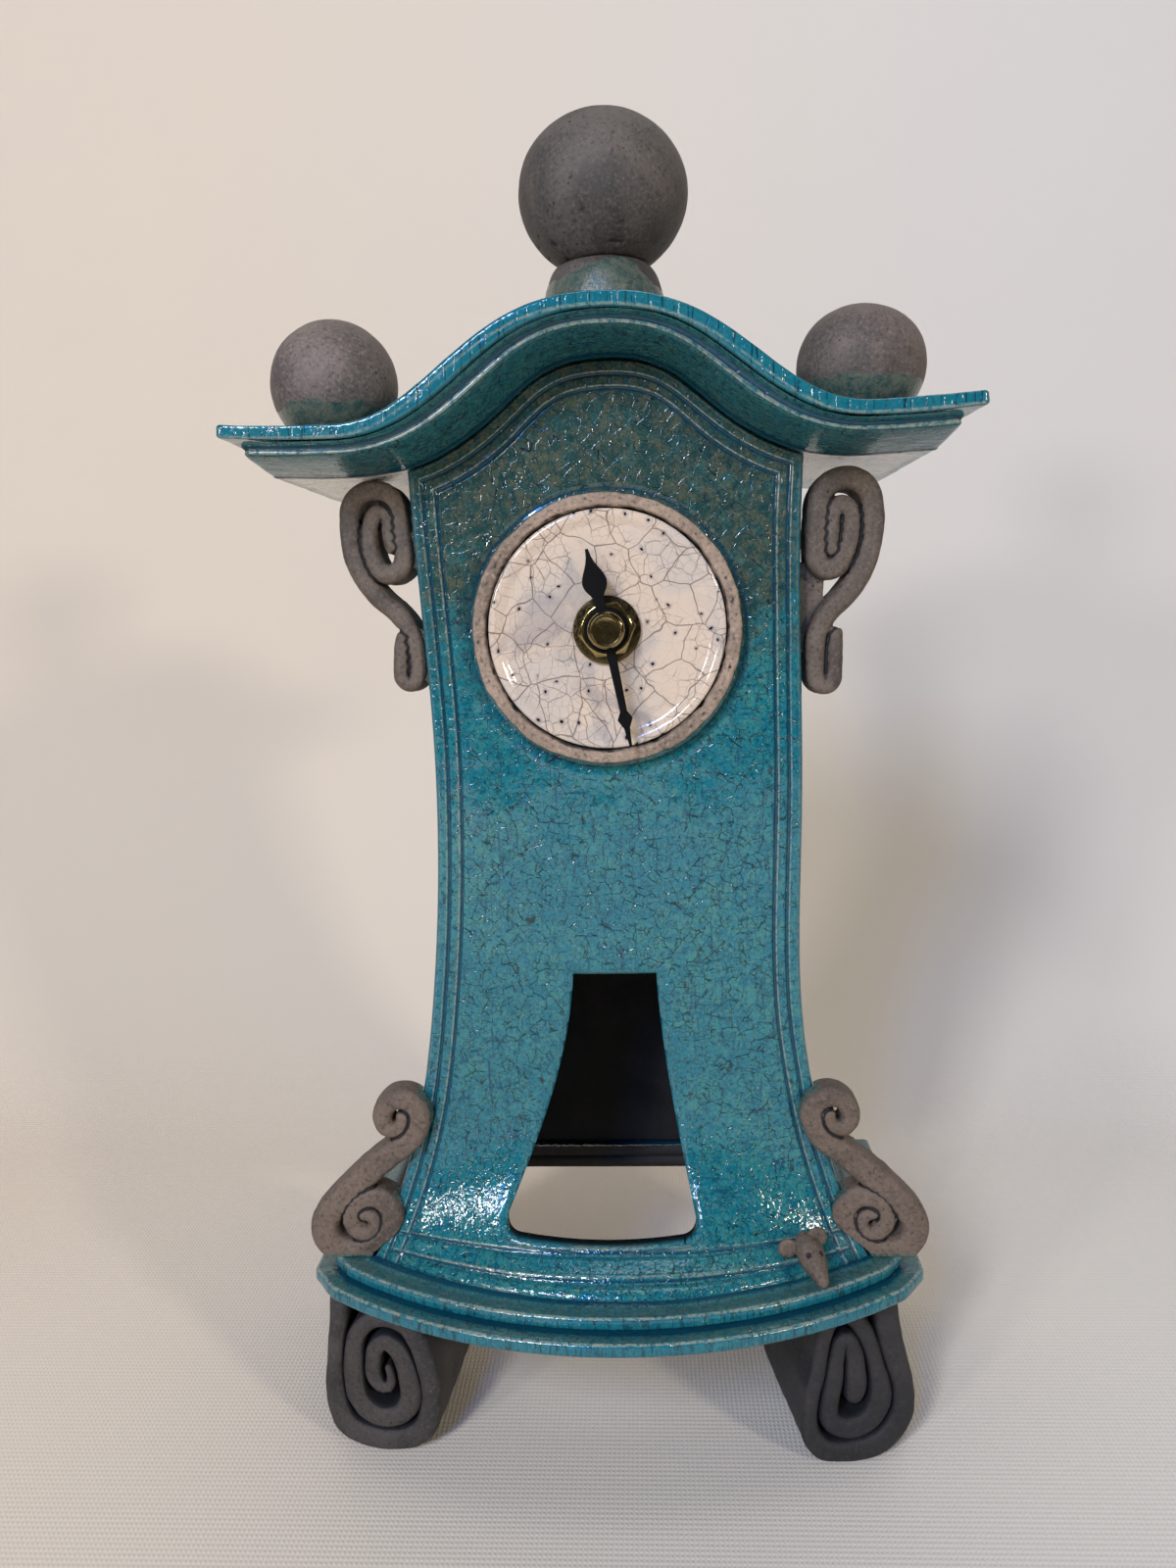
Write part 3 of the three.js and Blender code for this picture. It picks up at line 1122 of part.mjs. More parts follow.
const onPosts = [
  ["motion_wheel", motionWheel(), wheelPlastic, MOTION_POST],
  ["setting_knob", settingKnob(), wheelPlastic, SETTING_POST],
  ["third_wheel", thirdWheel(), wheelPlastic, THIRD_POST],
  ["seconds_wheel", secondsWheel(), wheelPlastic, SECONDS_POST],
  ["intermediate_wheel", intermediateWheel(), wheelPlastic, INTERMEDIATE_POST],
  ["rotor", rotor(), steel, ROTOR_POST],
];
for (const [name, geometry, material, [x, z]] of onPosts) add(movement, name, geometry, material, [x, 0, z]);

export default clock;
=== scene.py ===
import itertools
import math

import bmesh
import bpy
import numpy as np
from mathutils import Matrix, Vector
from mathutils.kdtree import KDTree


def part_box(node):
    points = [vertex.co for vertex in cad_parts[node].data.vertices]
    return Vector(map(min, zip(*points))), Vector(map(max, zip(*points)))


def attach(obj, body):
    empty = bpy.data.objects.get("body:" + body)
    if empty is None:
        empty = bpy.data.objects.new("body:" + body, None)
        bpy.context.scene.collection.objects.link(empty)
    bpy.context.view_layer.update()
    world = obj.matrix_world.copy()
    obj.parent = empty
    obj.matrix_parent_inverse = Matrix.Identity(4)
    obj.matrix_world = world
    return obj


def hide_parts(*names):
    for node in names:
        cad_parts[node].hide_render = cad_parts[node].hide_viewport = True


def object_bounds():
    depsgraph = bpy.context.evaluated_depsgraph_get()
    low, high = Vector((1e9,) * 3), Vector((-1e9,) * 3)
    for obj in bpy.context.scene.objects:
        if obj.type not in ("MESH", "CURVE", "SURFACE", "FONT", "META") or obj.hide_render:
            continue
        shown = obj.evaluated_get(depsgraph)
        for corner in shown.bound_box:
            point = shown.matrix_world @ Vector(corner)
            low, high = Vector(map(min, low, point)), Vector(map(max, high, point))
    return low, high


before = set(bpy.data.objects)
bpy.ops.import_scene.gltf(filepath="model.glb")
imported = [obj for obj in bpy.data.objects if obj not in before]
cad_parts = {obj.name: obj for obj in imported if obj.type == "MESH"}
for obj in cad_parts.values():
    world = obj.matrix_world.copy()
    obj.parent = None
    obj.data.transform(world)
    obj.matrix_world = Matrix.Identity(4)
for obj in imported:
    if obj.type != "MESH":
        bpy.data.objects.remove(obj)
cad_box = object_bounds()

# Lengths are millimetres until a mesh is made. The pottery is laid out from the plane of the
# front panel, y = 0, as in the solids, and PLACE puts it where they stand.
MM = 0.001
PLACE = np.array([0.7, -19.75, 0.0])
TAU = 2 * math.pi
PANEL = 5.5  # thickness of the front panel
DIAL_HEIGHT = 209.2
DIAL = np.array([0.0, 0.0, DIAL_HEIGHT])
WALL_FOOT = 51.8
WAIST, WAIST_HALF = 172, 44.7  # height and half width of the case where it is narrowest
BACK_FRONT = 60.5  # front face of the back panel
CROWN_REACH = 58  # from the middle of the roof to the end of its crown
UNDERSIDE = 8.7  # roof line to the underside of the cornice
ROOF_SHIFT = -0.7
COVE_POINTS = 34


# Numbers and noise
def spaced(*stops):
    """Joins runs of evenly spaced numbers: start, (end, count), (end, count) and so on."""
    values = [stops[0]]
    for end, count in stops[1:]:
        values.extend(np.linspace(values[-1], end, count + 1)[1:])
    return np.array(values)


def smoothstep(low, high, value):
    t = np.clip((value - low) / (high - low), 0, 1)
    return t * t * (3 - 2 * t)


def bell(value, at, half):
    """1 where the value is at, falling towards 0 on both sides."""
    return np.exp(-(((value - at) / half) ** 2))


def lattice(ix, iy, iz, seed):
    h = (ix * 374761393 + iy * 668265263 + iz * 1440662683 + seed * 1274126177) & 0xFFFFFFFF
    h = ((h ^ (h >> 13)) * 1103515245) & 0xFFFFFFFF
    h = ((h ^ (h >> 15)) * 668265263) & 0xFFFFFFFF
    return ((h ^ (h >> 16)) & 0xFFFF) / 32767.5 - 1.0


def lumps(points, size, seed=1, octaves=2):
    """Smooth noise from -1 to 1 at each point, with lumps about size mm wide."""
    total = np.zeros(len(points))
    weight, strength = 1.0, 0.0
    for octave in range(octaves):
        p = np.asarray(points) / size * 2**octave + 37.3 * octave
        base = np.floor(p).astype(np.int64)
        f = p - base
        f = f * f * f * (f * (f * 6 - 15) + 10)
        value = np.zeros(len(points))
        for corner in itertools.product((0, 1), repeat=3):
            x, y, z = [np.where(corner[k], f[:, k], 1 - f[:, k]) for k in range(3)]
            value += lattice(*(base + corner).T, seed + octave) * (x * y * z)
        total += value * weight
        strength += weight
        weight *= 0.5
    return total / strength


# Meshes
def mesh_of(name, points, faces):
    mesh = bpy.data.meshes.new(name)
    mesh.from_pydata((np.asarray(points) * MM).tolist(), [], faces)
    mesh.update()
    return mesh


def points_of(mesh):
    flat = np.empty(len(mesh.vertices) * 3)
    mesh.vertices.foreach_get("co", flat)
    return flat.reshape(-1, 3) / MM


def normals_of(mesh):
    flat = np.empty(len(mesh.vertices) * 3)
    mesh.vertex_normals.foreach_get("vector", flat)
    return flat.reshape(-1, 3)


def set_points(mesh, points):
    mesh.vertices.foreach_set("co", (points * MM).ravel())
    mesh.update()


def relaxed(mesh, points, rounds):
    """The points after some rounds of each moving half way to the middle of its neighbours."""
    edges = np.empty(len(mesh.edges) * 2, dtype=np.int64)
    mesh.edges.foreach_get("vertices", edges)
    a, b = edges.reshape(-1, 2).T
    count = np.bincount(a, minlength=len(points)) + np.bincount(b, minlength=len(points))
    count = np.maximum(count, 1)[:, None]
    for _ in range(rounds):
        total = np.zeros_like(points)
        for axis in range(3):
            total[:, axis] += np.bincount(a, points[b, axis], len(points))
            total[:, axis] += np.bincount(b, points[a, axis], len(points))
        points = 0.5 * points + 0.5 * total / count
    return points


def push(mesh, move):
    """Moves each point out along its normal."""
    set_points(mesh, points_of(mesh) + normals_of(mesh) * move[:, None])


def roughen(mesh, amounts, seed=1):
    """Moves the surface in and out by each (height, size) of hand-made unevenness."""
    points = points_of(mesh)
    push(mesh, sum(h * lumps(points, size, seed + i) for i, (h, size) in enumerate(amounts)))


def put_masks(mesh, **masks):
    """Stores numbers from 0 to 1, one for each point, that the materials read by name."""
    for name, values in masks.items():
        attribute = mesh.attributes.get(name) or mesh.attributes.new(name, "FLOAT", "POINT")
        attribute.data.foreach_set("value", np.clip(values, 0, 1).astype(np.float32))


def mask_of(mesh, name):
    return np.array([entry.value for entry in mesh.attributes[name].data])


def relief_masks(mesh, rounds=4, height=0.12):
    """Marks the ridges (rim) and the hollows (pool) of a surface: on glaze, where it thins and gathers; on bare clay
    the darkened hollows are painted shade.
    """
    points = points_of(mesh)
    rise = np.einsum("ij,ij->i", points - relaxed(mesh, points, rounds), normals_of(mesh))
    put_masks(mesh, rim=rise / height, pool=-rise / height)


def moved(mesh):
    """Puts a mesh in its place; what little unevenness leaves the box of the solids is pressed back."""
    low, high = np.array([[float(v) for v in corner] for corner in cad_box]) / MM
    set_points(mesh, np.clip(points_of(mesh) + PLACE, low, high))
    return mesh


def new_object(name, data):
    piece = bpy.data.objects.new(name, data)
    bpy.context.scene.collection.objects.link(piece)
    return piece


def wear(mesh, material):
    mesh.materials.clear()
    mesh.materials.append(material)


def publish(node, finish, mesh, material, body):
    """Shows a mesh in place of a CAD node, on its body."""
    mesh.shade_smooth()
    wear(mesh, material)
    piece = new_object(f"{node}_{finish}", mesh)
    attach(piece, body)
    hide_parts(node)


def with_modifier(mesh, kind, **settings):
    """The mesh after one modifier, as a new mesh."""
    holder = new_object("work", mesh)
    modifier = holder.modifiers.new("work", kind)
    for key, value in settings.items():
        setattr(modifier, key, value)
    graph = bpy.context.evaluated_depsgraph_get()
    made = bpy.data.meshes.new_from_object(holder.evaluated_get(graph))
    bpy.data.objects.remove(holder)
    bpy.data.meshes.remove(mesh)
    return made


def subtract(mesh, *tools):
    """Cuts closed meshes out of a mesh."""
    for tool in tools:
        holder = new_object("tool", tool)
        mesh = with_modifier(mesh, "BOOLEAN", operation="DIFFERENCE", solver="EXACT", object=holder)
        bpy.data.objects.remove(holder)
        bpy.data.meshes.remove(tool)
    return mesh


def fused(mesh, voxel):
    """One closed skin round everything in the mesh."""
    return with_modifier(mesh, "REMESH", mode="VOXEL", voxel_size=voxel * MM)


def joined(*meshes):
    """All meshes as one."""
    whole = bmesh.new()
    for mesh in meshes:
        whole.from_mesh(mesh)
        bpy.data.meshes.remove(mesh)
    mesh = bpy.data.meshes.new("joined")
    whole.to_mesh(mesh)
    whole.free()
    return mesh


def facing_out(mesh):
    shell = bmesh.new()
    shell.from_mesh(mesh)
    bmesh.ops.recalc_face_normals(shell, faces=shell.faces)
    if shell.calc_volume(signed=True) < 0:
        bmesh.ops.reverse_faces(shell, faces=shell.faces)
    shell.to_mesh(mesh)
    shell.free()
    return mesh


def ring_faces(stations, around, closed=False):
    """Faces between rings of equal size; closed joins the last ring to the first."""
    faces = []
    for s in range(stations if closed else stations - 1):
        t = (s + 1) % stations
        for i in range(around):
            j = (i + 1) % around
            faces.append((s * around + i, s * around + j, t * around + j, t * around + i))
    return faces


def tube(name, rings):
    """A closed skin through rings of equal size, with a flat face at each end."""
    rings = np.asarray(rings)
    stations, around, _ = rings.shape
    faces = ring_faces(stations, around)
    faces.append(tuple(range(around - 1, -1, -1)))
    faces.append(tuple(range((stations - 1) * around, stations * around)))
    return facing_out(mesh_of(name, rings.reshape(-1, 3), faces))


def hoop(name, rings):
    """A closed skin through rings that come back to the first one."""
    rings = np.asarray(rings)
    faces = ring_faces(len(rings), rings.shape[1], closed=True)
    return facing_out(mesh_of(name, rings.reshape(-1, 3), faces))


def turned(name, profile, axis_point, segments=96, axis="y"):
    """A profile of (radius, depth) points turned about an axis; its ends lie on the axis."""
    profile = np.asarray(profile, float)
    inner = profile[1:-1]
    points = []
    for r, d in inner:
        for a in np.arange(segments) * TAU / segments:
            points.append((r * math.cos(a), d, r * math.sin(a)))
    first, last = len(points), len(points) + 1
    points += [(0, profile[0][1], 0), (0, profile[-1][1], 0)]
    faces = ring_faces(len(inner), segments)
    end = (len(inner) - 1) * segments
    for i in range(segments):
        j = (i + 1) % segments
        faces.append((first, j, i))
        faces.append((last, end + i, end + j))
    points = np.array(points)
    if axis == "z":
        points = points[:, [0, 2, 1]]
    return facing_out(mesh_of(name, points + axis_point, faces))


def turned_ring(name, profile, axis_point, segments=96):
    """A closed profile of (radius, depth) points turned about an axis along y."""
    profile = np.asarray(profile, float)
    rings = []
    for a in np.arange(segments) * TAU / segments:
        rings.append(np.stack([
            profile[:, 0] * math.cos(a), profile[:, 1], profile[:, 0] * math.sin(a),
        ], axis=1) + axis_point)
    return hoop(name, rings)


def rounded_box(x0, x1, y0, y1, corner, steps_x, steps_y, arc=4):
    """The outline of a rectangle with round corners, with points along its sides."""
    points = []
    corners = [
        (x1 - corner, y0 + corner, -90), (x1 - corner, y1 - corner, 0),
        (x0 + corner, y1 - corner, 90), (x0 + corner, y0 + corner, 180),
    ]
    sides = [steps_y, steps_x, steps_y, steps_x]
    for k, (cx, cy, start) in enumerate(corners):
        for a in np.radians(np.linspace(start, start + 90, arc + 1)):
            points.append((cx + corner * math.cos(a), cy + corner * math.sin(a)))
        nx, ny, nstart = corners[(k + 1) % 4]
        a = math.radians(nstart)
        goal = (nx + corner * math.cos(a), ny + corner * math.sin(a))
        here = points[-1]
        for t in np.linspace(0, 1, sides[k] + 1)[1:-1]:
            points.append((here[0] + t * (goal[0] - here[0]), here[1] + t * (goal[1] - here[1])))
    return np.array(points)


# Lines of the clock
def roof_top(x):
    """Height of the roof's upper line: a crown in the middle, level eaves that lift at their ends."""
    x = np.asarray(x, float)
    away = np.abs(x)
    crown = np.where(away < CROWN_REACH, 12.3 * (1 + np.cos(np.pi * away / CROWN_REACH)), 0)
    full = np.where(away < 52, 2.7 * np.sin(np.pi * away / 52) ** 2, 0)
    lift = np.where(away > CROWN_REACH, ((away - CROWN_REACH) / 24.5) ** 2, 0)
    return 255.6 + crown + full + lift + 0.014 * x


def below_roof(x, depth):
    slope = (roof_top(x + 0.01) - roof_top(x - 0.01)) / 0.02
    reach = depth * (1 + 0.4 * slope**2) / np.hypot(1, slope)
    return x + reach * slope, roof_top(x) - reach


def roof_height(x, depth):
    source = np.array(x, float)
    for _ in range(8):
        source = source + x - below_roof(source, depth)[0]
    return below_roof(source, depth)[1]


def wall_half(z):
    """Half the width of the case at a height."""
    z = np.asarray(z, float)
    upper = WAIST_HALF + 1.8 * ((z - WAIST) / 75) ** 2
    lower = WAIST_HALF + 15.5 * (np.maximum(WAIST - z, 0) / 114) ** 3.2
    return np.where(z > WAIST, upper, lower)


def wall_sway(z):
    """How far the middle of the case lies to the right at a height."""
    away = np.abs(np.asarray(z, float) - WAIST)
    return np.where(away < 70, 0.9 * (1 + np.cos(np.pi * away / 70)), 0)


def panel_face(share, z):
    """Depth of the front face; share is -1 to 1 across it. Its foot sweeps forward."""
    drop = np.maximum(0, (100 - np.asarray(z, float)) / 48.2)
    return -25 * drop**3.2 * (1 - 0.8 * np.asarray(share) ** 2)


def face_at(x, z):
    return panel_face((x - wall_sway(z)) / wall_half(z), z)


def wall_top(x):
    return roof_height(x, UNDERSIDE) - 0.3


def wall_edge(side):
    """Height of the wall under the roof at its left (-1) or right (1) edge."""
    z = 247.0
    for _ in range(6):
        z = float(wall_top(float(wall_sway(z) + side * wall_half(z))))
    return z


def window_outline():
    left, right, sill, top = -28.3, 19.7, 59.5, 124
    bend, corner = sill + 64.5 * 0.6, 64.5
    curves = [
        ((-10.4, top), (-11.8, bend), (left + 0.6, corner)),
        ((left + 0.6, corner), (left - 0.8, sill), (left + 5, sill)),
        ((left + 5, sill), (-4.3, sill - 1.2), (right - 5, sill)),
        ((right - 5, sill), (right + 0.8, sill), (right - 0.6, corner)),
        ((right - 0.6, corner), (11.8, bend), (10.4, top)),
        ((10.4, top), (0, top + 0.3), (-10.4, top)),
    ]
    points = []
    for a, b, c in curves:
        for t in np.linspace(0, 1, 17)[:-1]:
            points.append((1 - t) ** 2 * np.array(a) + 2 * t * (1 - t) * np.array(b) + t * t * np.array(c))
    return np.array(points)


def outline_distance(points, outline):
    """Distance of each point from a closed outline."""
    best = np.full(len(points), 1e9)
    for a, b in zip(outline, np.roll(outline, -1, axis=0)):
        d = b - a
        t = np.clip(((points - a) @ d) / (d @ d), 0, 1)
        best = np.minimum(best, np.linalg.norm(points - a - t[:, None] * d, axis=1))
    return best


def prism(name, outline, y0, y1):
    """An outline in x and z made solid between two depths."""
    return tube(name, [[(x, y, z) for x, z in outline] for y in (y0, y1)])


# Front panel
def edge_distances(x, z):
    """Distance from the sides and from the arch of the panel, square to the edge."""
    slope = wall_half(z + 0.5) - wall_half(z - 0.5)
    side = (wall_half(z) - np.abs(x - wall_sway(z))) / np.hypot(1, slope)
    lean = wall_top(x + 0.5) - wall_top(x - 0.5)
    arch = (wall_top(x) - z) / np.hypot(1, lean)
    return side, arch


def panel_relief(x, z):
    """Height of the face, and where glaze gathers (pool) and thins (rim)."""
    side, arch = edge_distances(x, z)
    wobble = 0.22 * lumps(np.stack([x, z * 0.7, 0 * x], 1), 22, 5)
    frame_line = np.minimum(side, arch) + wobble
    cuts = np.maximum(bell(frame_line, 3.3, 0.4), bell(frame_line, 6.4, 0.38))
    ridges = np.maximum(0.8 * bell(frame_line, 2.65, 0.22), bell(frame_line, 5.8, 0.24))
    above = z - WALL_FOOT + wobble
    inside = smoothstep(2.5, 5, side)
    foot_cuts = np.maximum(bell(above, 2.4, 0.42), bell(above, 6.4, 0.42)) * inside
    foot_ridges = np.maximum(bell(above, 3.2, 0.3), 0.8 * bell(above, 7.1, 0.28)) * inside
    radius = np.hypot(x, z - DIAL_HEIGHT)
    halo = bell(radius, 33.0, 0.55)
    swell = bell(radius, 34.8, 1.3)
    cuts = np.maximum(cuts, foot_cuts)
    ridges = np.maximum(ridges, foot_ridges)
    height = -0.68 * cuts + 0.22 * ridges - 0.35 * halo + 0.1 * swell
    pool = np.maximum(cuts, 0.7 * halo)
    return height, pool, ridges


def panel_rows():
    """x and z of the front panel's points: level rows at first, then rows that follow the arch."""
    band, close = 9.5, 35  # width of the border, and how many points lie across it
    border = np.linspace(0, band, close)
    middle = np.linspace(0, 1, 107)[1:-1]
    count = 2 * close + len(middle)

    def row(z_rule):
        z = z_rule(np.linspace(-46, 46, count))
        for _ in range(8):
            left, right = wall_sway(z) - wall_half(z), wall_sway(z) + wall_half(z)
            a, b = (left + band)[close:-close], (right - band)[close:-close]
            x = np.concatenate([
                left[:close] + border, a + (b - a) * middle, right[-close:] - np.linspace(band, 0, close),
            ])
            z = z_rule(x)
        return x, z

    low = spaced(WALL_FOOT, (62, 34), (236, 205))
    start = low[-1]
    rows = [row(lambda x, h=h: np.full(len(x), h)) for h in low]
    rows += [
        row(lambda x, t=t: start + t * (wall_top(x) - band - start)) for t in np.linspace(0, 1, 37)[1:]
    ]
    rows += [row(lambda x, d=d: wall_top(x) - d) for d in np.linspace(band, 0, close)[1:]]
    return np.array([x for x, _ in rows]), np.array([z for _, z in rows])


def panel_skin(x, z):
    """Points of the panel's face, with its cut lines, its rounded borders and its unevenness."""
    e = 0.05
    nx = (face_at(x + e, z) - face_at(x - e, z)) / (2 * e)
    nz = (face_at(x, z + e) - face_at(x, z - e)) / (2 * e)
    normal = np.stack([nx, -np.ones_like(nx), nz], 1)
    normal /= np.linalg.norm(normal, axis=1)[:, None]
    front = np.stack([x, face_at(x, z), z], 1)
    height = panel_relief(x, z)[0]
    border = np.minimum(np.minimum(*edge_distances(x, z)), z - WALL_FOOT)
    border = np.minimum(border, outline_distance(np.stack([x, z], 1), window_outline()))
    r = 1.5
    round_off = r - np.sqrt(np.maximum(r * r - np.maximum(r - border, 0) ** 2, 0))
    height += 0.35 * lumps(front, 24, 3) * smoothstep(0, 10, border) + 0.05 * lumps(front, 3.2, 9)
    return front, front + normal * (height - round_off)[:, None]


def front_panel():
    x, z = panel_rows()
    rows, columns = x.shape
    front, skin = panel_skin(x.ravel(), z.ravel())

    # The rear face needs few points: every sixth row and column, with its border shared out.
    keep_r = sorted(set(range(0, rows, 6)) | {rows - 1})
    keep_c = sorted(set(range(0, columns, 6)) | {columns - 1})
    front_id = np.arange(rows * columns).reshape(rows, columns)
    rear = (front + np.array([0, PANEL, 0]))[front_id[np.ix_(keep_r, keep_c)].ravel()]
    rear_id = -np.ones((rows, columns), int)
    rear_id[np.ix_(keep_r, keep_c)] = len(skin) + np.arange(len(rear)).reshape(len(keep_r), len(keep_c))
    faces = []
    for r in range(rows - 1):
        for c in range(columns - 1):
            faces.append((front_id[r, c], front_id[r, c + 1], front_id[r + 1, c + 1], front_id[r + 1, c]))

    def close(strip, flip):
        faces.append(tuple(strip[::-1] if flip else strip))

    for r0, r1 in zip(keep_r, keep_r[1:]):
        for c0, c1 in zip(keep_c, keep_c[1:]):
            faces.append((rear_id[r0, c0], rear_id[r1, c0], rear_id[r1, c1], rear_id[r0, c1]))
        for c, flip in ((0, False), (columns - 1, True)):
            close([*front_id[r0:r1 + 1, c], rear_id[r1, c], rear_id[r0, c]], flip)
    for c0, c1 in zip(keep_c, keep_c[1:]):
        for r, flip in ((0, True), (rows - 1, False)):
            close([*front_id[r, c0:c1 + 1], rear_id[r, c1], rear_id[r, c0]], flip)
    faces = [tuple(int(i) for i in face) for face in faces]
    mesh = facing_out(mesh_of("panel", np.vstack([skin, rear]), faces))
    window = prism("window", window_outline(), -40, 12)
    hole = prism("hole", [
        (4.5 * math.cos(a), DIAL_HEIGHT + 4.5 * math.sin(a)) for a in np.arange(24) * TAU / 24
    ], -10, 12)
    mesh = subtract(mesh, window, hole)

    x, y, z = points_of(mesh).T
    _, pool, rim = panel_relief(x, z)
    near = outline_distance(np.stack([x, z], 1), window_outline())
    side, arch = edge_distances(x, z)
    outside = np.minimum(np.minimum(side, arch), near)
    rim = np.maximum(rim, 0.5 * bell(outside, 0.8, 0.5))
    depth = y - face_at(x, z)
    facing = depth < 2
    put_masks(
        mesh, bare=smoothstep(PANEL - 1.2, PANEL - 0.3, depth), pool=pool * facing, rim=rim * facing,
        edge=np.exp(-np.maximum(np.minimum(side, near), 0) / 1.6) * facing,
    )
    return moved(mesh)


# Walls, roof and base
def side_wall(side):
    section = rounded_box(0, 5, 0, 1, 0.0, 4, 50, arc=1)
    rings = []
    height_edge = wall_edge(side)
    for rise in spaced(0, (1, 150)):
        z0 = WALL_FOOT + rise * (height_edge - WALL_FOOT)
        edge = float(wall_sway(z0) + side * wall_half(z0))
        ring = []
        for inner, share_y in section:
            x = edge - side * inner
            z = min(z0, float(wall_top(x)))
            face = float(face_at(x, z)) + PANEL + 0.3
            ring.append((x, face + share_y * (BACK_FRONT - 0.3 - face), z))
        rings.append(ring)
    mesh = tube("wall", rings)
    roughen(mesh, [(0.22, 26), (0.05, 4)], 11)
    relief_masks(mesh, 6, 0.2)
    put_masks(mesh, bare=np.tile(smoothstep(4.2, 4.9, section[:, 0]), len(rings)))
    return moved(mesh)


def roof_mesh(name, section_at, half, corner, stations):
    """Lays a section, given as (y, depth) points, along the roof line; its ends are rounded."""
    rings = []
    ends = [(corner * (1 - math.cos(a)), corner * (1 - math.sin(a))) for a in np.radians([10, 30, 50, 70])]
    plan = [(-half + along, shrink) for along, shrink in ends]
    plan += [(x, 0.0) for x in np.linspace(-half + corner, half - corner, stations)]
    plan += [(half - along, shrink) for along, shrink in reversed(ends)]
    for x, shrink in plan:
        section = section_at(shrink)
        px, pz = below_roof(np.full(len(section), x + ROOF_SHIFT), section[:, 1])
        rings.append(np.stack([px, section[:, 0], pz], 1))
    return tube(name, rings)


def roof_slab():
    def section(shrink):
        return rounded_box(-24 + shrink, 76 - shrink, shrink, 3.1 - shrink, max(0.6 - shrink, 0.15), 90, 6)

    mesh = roof_mesh("slab", section, 82.5, 1.1, 190)
    roughen(mesh, [(0.3, 30), (0.12, 7), (0.04, 2.5)], 21)
    relief_masks(mesh, 4, 0.25)
    x, y, z = points_of(mesh).T
    lower = np.abs(roof_top(x - ROOF_SHIFT) - z - 2.7)
    fascia = smoothstep(-22.9, -23.5, y)
    put_masks(mesh, pool=0 * x, rim=bell(lower, 0, 0.4) * (y < -22.8), edge=fascia, split=fascia)
    return moved(mesh)


def cornice_section(shrink):
    """The cornice from its top front edge: band, lip, cove, line at the panel, and underside."""
    front = [
        (-21.6, 3.3), (-22.5, 3.3), (-22.3, 3.55), (-21.4, 3.8), (-20.6, 4.05), (-20.0, 4.4), (-19.9, 4.75),
        (-20.1, 5.0), (-20.35, 5.3), (-20.3, 5.65), (-19.9, 5.85), (-19.4, 5.8),
    ]
    cove = [
        (-20 * math.cos(a), 5.6 + 3.0 * (1 - math.cos(a)) ** 0.6)
        for a in np.radians(np.linspace(14, 88, COVE_POINTS))
    ]
    line = [(-0.4, 8.78), (0.1, 8.7)]
    under = [(y, 8.7) for y in np.linspace(2, 71.2, 46)]
    rear = [(71.7, 8.5), (72, 8.0), (72, 6.0), (72, 4.2), (71.7, 3.6), (71.2, 3.4)]
    top = [(y, 3.4) for y in np.linspace(69, -17, 44)]
    points = np.array(front + cove + line + under + rear + top)
    # near the roof's ends the section draws in on all sides
    middle = np.array([26.0, 5.9])
    reach = np.array([46.0, 2.6])
    return middle + (points - middle) * (1 - shrink / reach)


def roof_cornice():
    mesh = roof_mesh("cornice", cornice_section, 77.5, 1.3, 200)
    roughen(mesh, [(0.22, 26), (0.1, 6), (0.04, 2.5)], 31)
    points = points_of(mesh)
    at = np.arange(len(points)) % len(cornice_section(0.0))
    cove_end = 12 + COVE_POINTS
    under = (at >= cove_end) & (at < cove_end + 50)
    away = np.abs(points[:, 0] - ROOF_SHIFT)
    # The outer undersides of the roof's ends are made pale grey: painted reflection of the bright backdrop in the
    # glaze.
    pale = smoothstep(44, 52, away) * smoothstep(76, 73.5, away) * smoothstep(55, 40, points[:, 1])
    # The band under the slab's overhang (section points 3 to 7) is darkened: painted shade.
    hollow = np.interp(at, [3, 4.5, 6, 7], [0, 0.8, 0.8, 0], 0, 0)
    line = np.interp(at, [cove_end - 5, cove_end - 3, cove_end], [0, 1, 0.6], 0, 0)
    rim = np.interp(at, [5, 7, 8, 9, 10], [0, 1, 1, 0.8, 0], 0, 0)
    put_masks(mesh, rim=rim, pool=np.maximum(hollow, line), pale=pale * under)
    return moved(mesh)


def offset_outline(points, distance):
    """Moves each side of an outline inwards by a distance."""
    sides = []
    for a, b in zip(points, np.roll(points, -1, axis=0)):
        u = (b - a) / np.linalg.norm(b - a)
        sides.append((a + distance * np.array([-u[1], u[0]]), u))
    result = []
    for (p, u), (q, v) in zip([sides[-1]] + sides, sides):
        w = q - p
        along = (w[0] * v[1] - w[1] * v[0]) / (u[0] * v[1] - u[1] * v[0])
        result.append(p + along * u)
    return np.array(result)


def resampled(points, count):
    """Points evenly spaced along a closed outline."""
    closed = np.vstack([points, points[:1]])
    length = np.concatenate([[0], np.cumsum(np.linalg.norm(np.diff(closed, axis=0), axis=1))])
    at = np.linspace(0, length[-1], count + 1)[:-1]
    return np.stack([np.interp(at, length, closed[:, k]) for k in (0, 1)], 1)


def bow(reach, count, radius):
    """Points along the base's bow front; the window side of its opening has the same centre."""
    x = np.linspace(-reach, reach, count)
    return np.stack([x, 83.5 - np.sqrt(radius**2 - x**2)], 1)


def base_plan(setback):
    front = bow(71, 19, 120)
    corner = front[0][1] + 9
    points = np.vstack([[[-77.5, corner]], front, [[77.5, corner], [77.5, 70], [-77.5, 70]]])
    return offset_outline(points, setback)


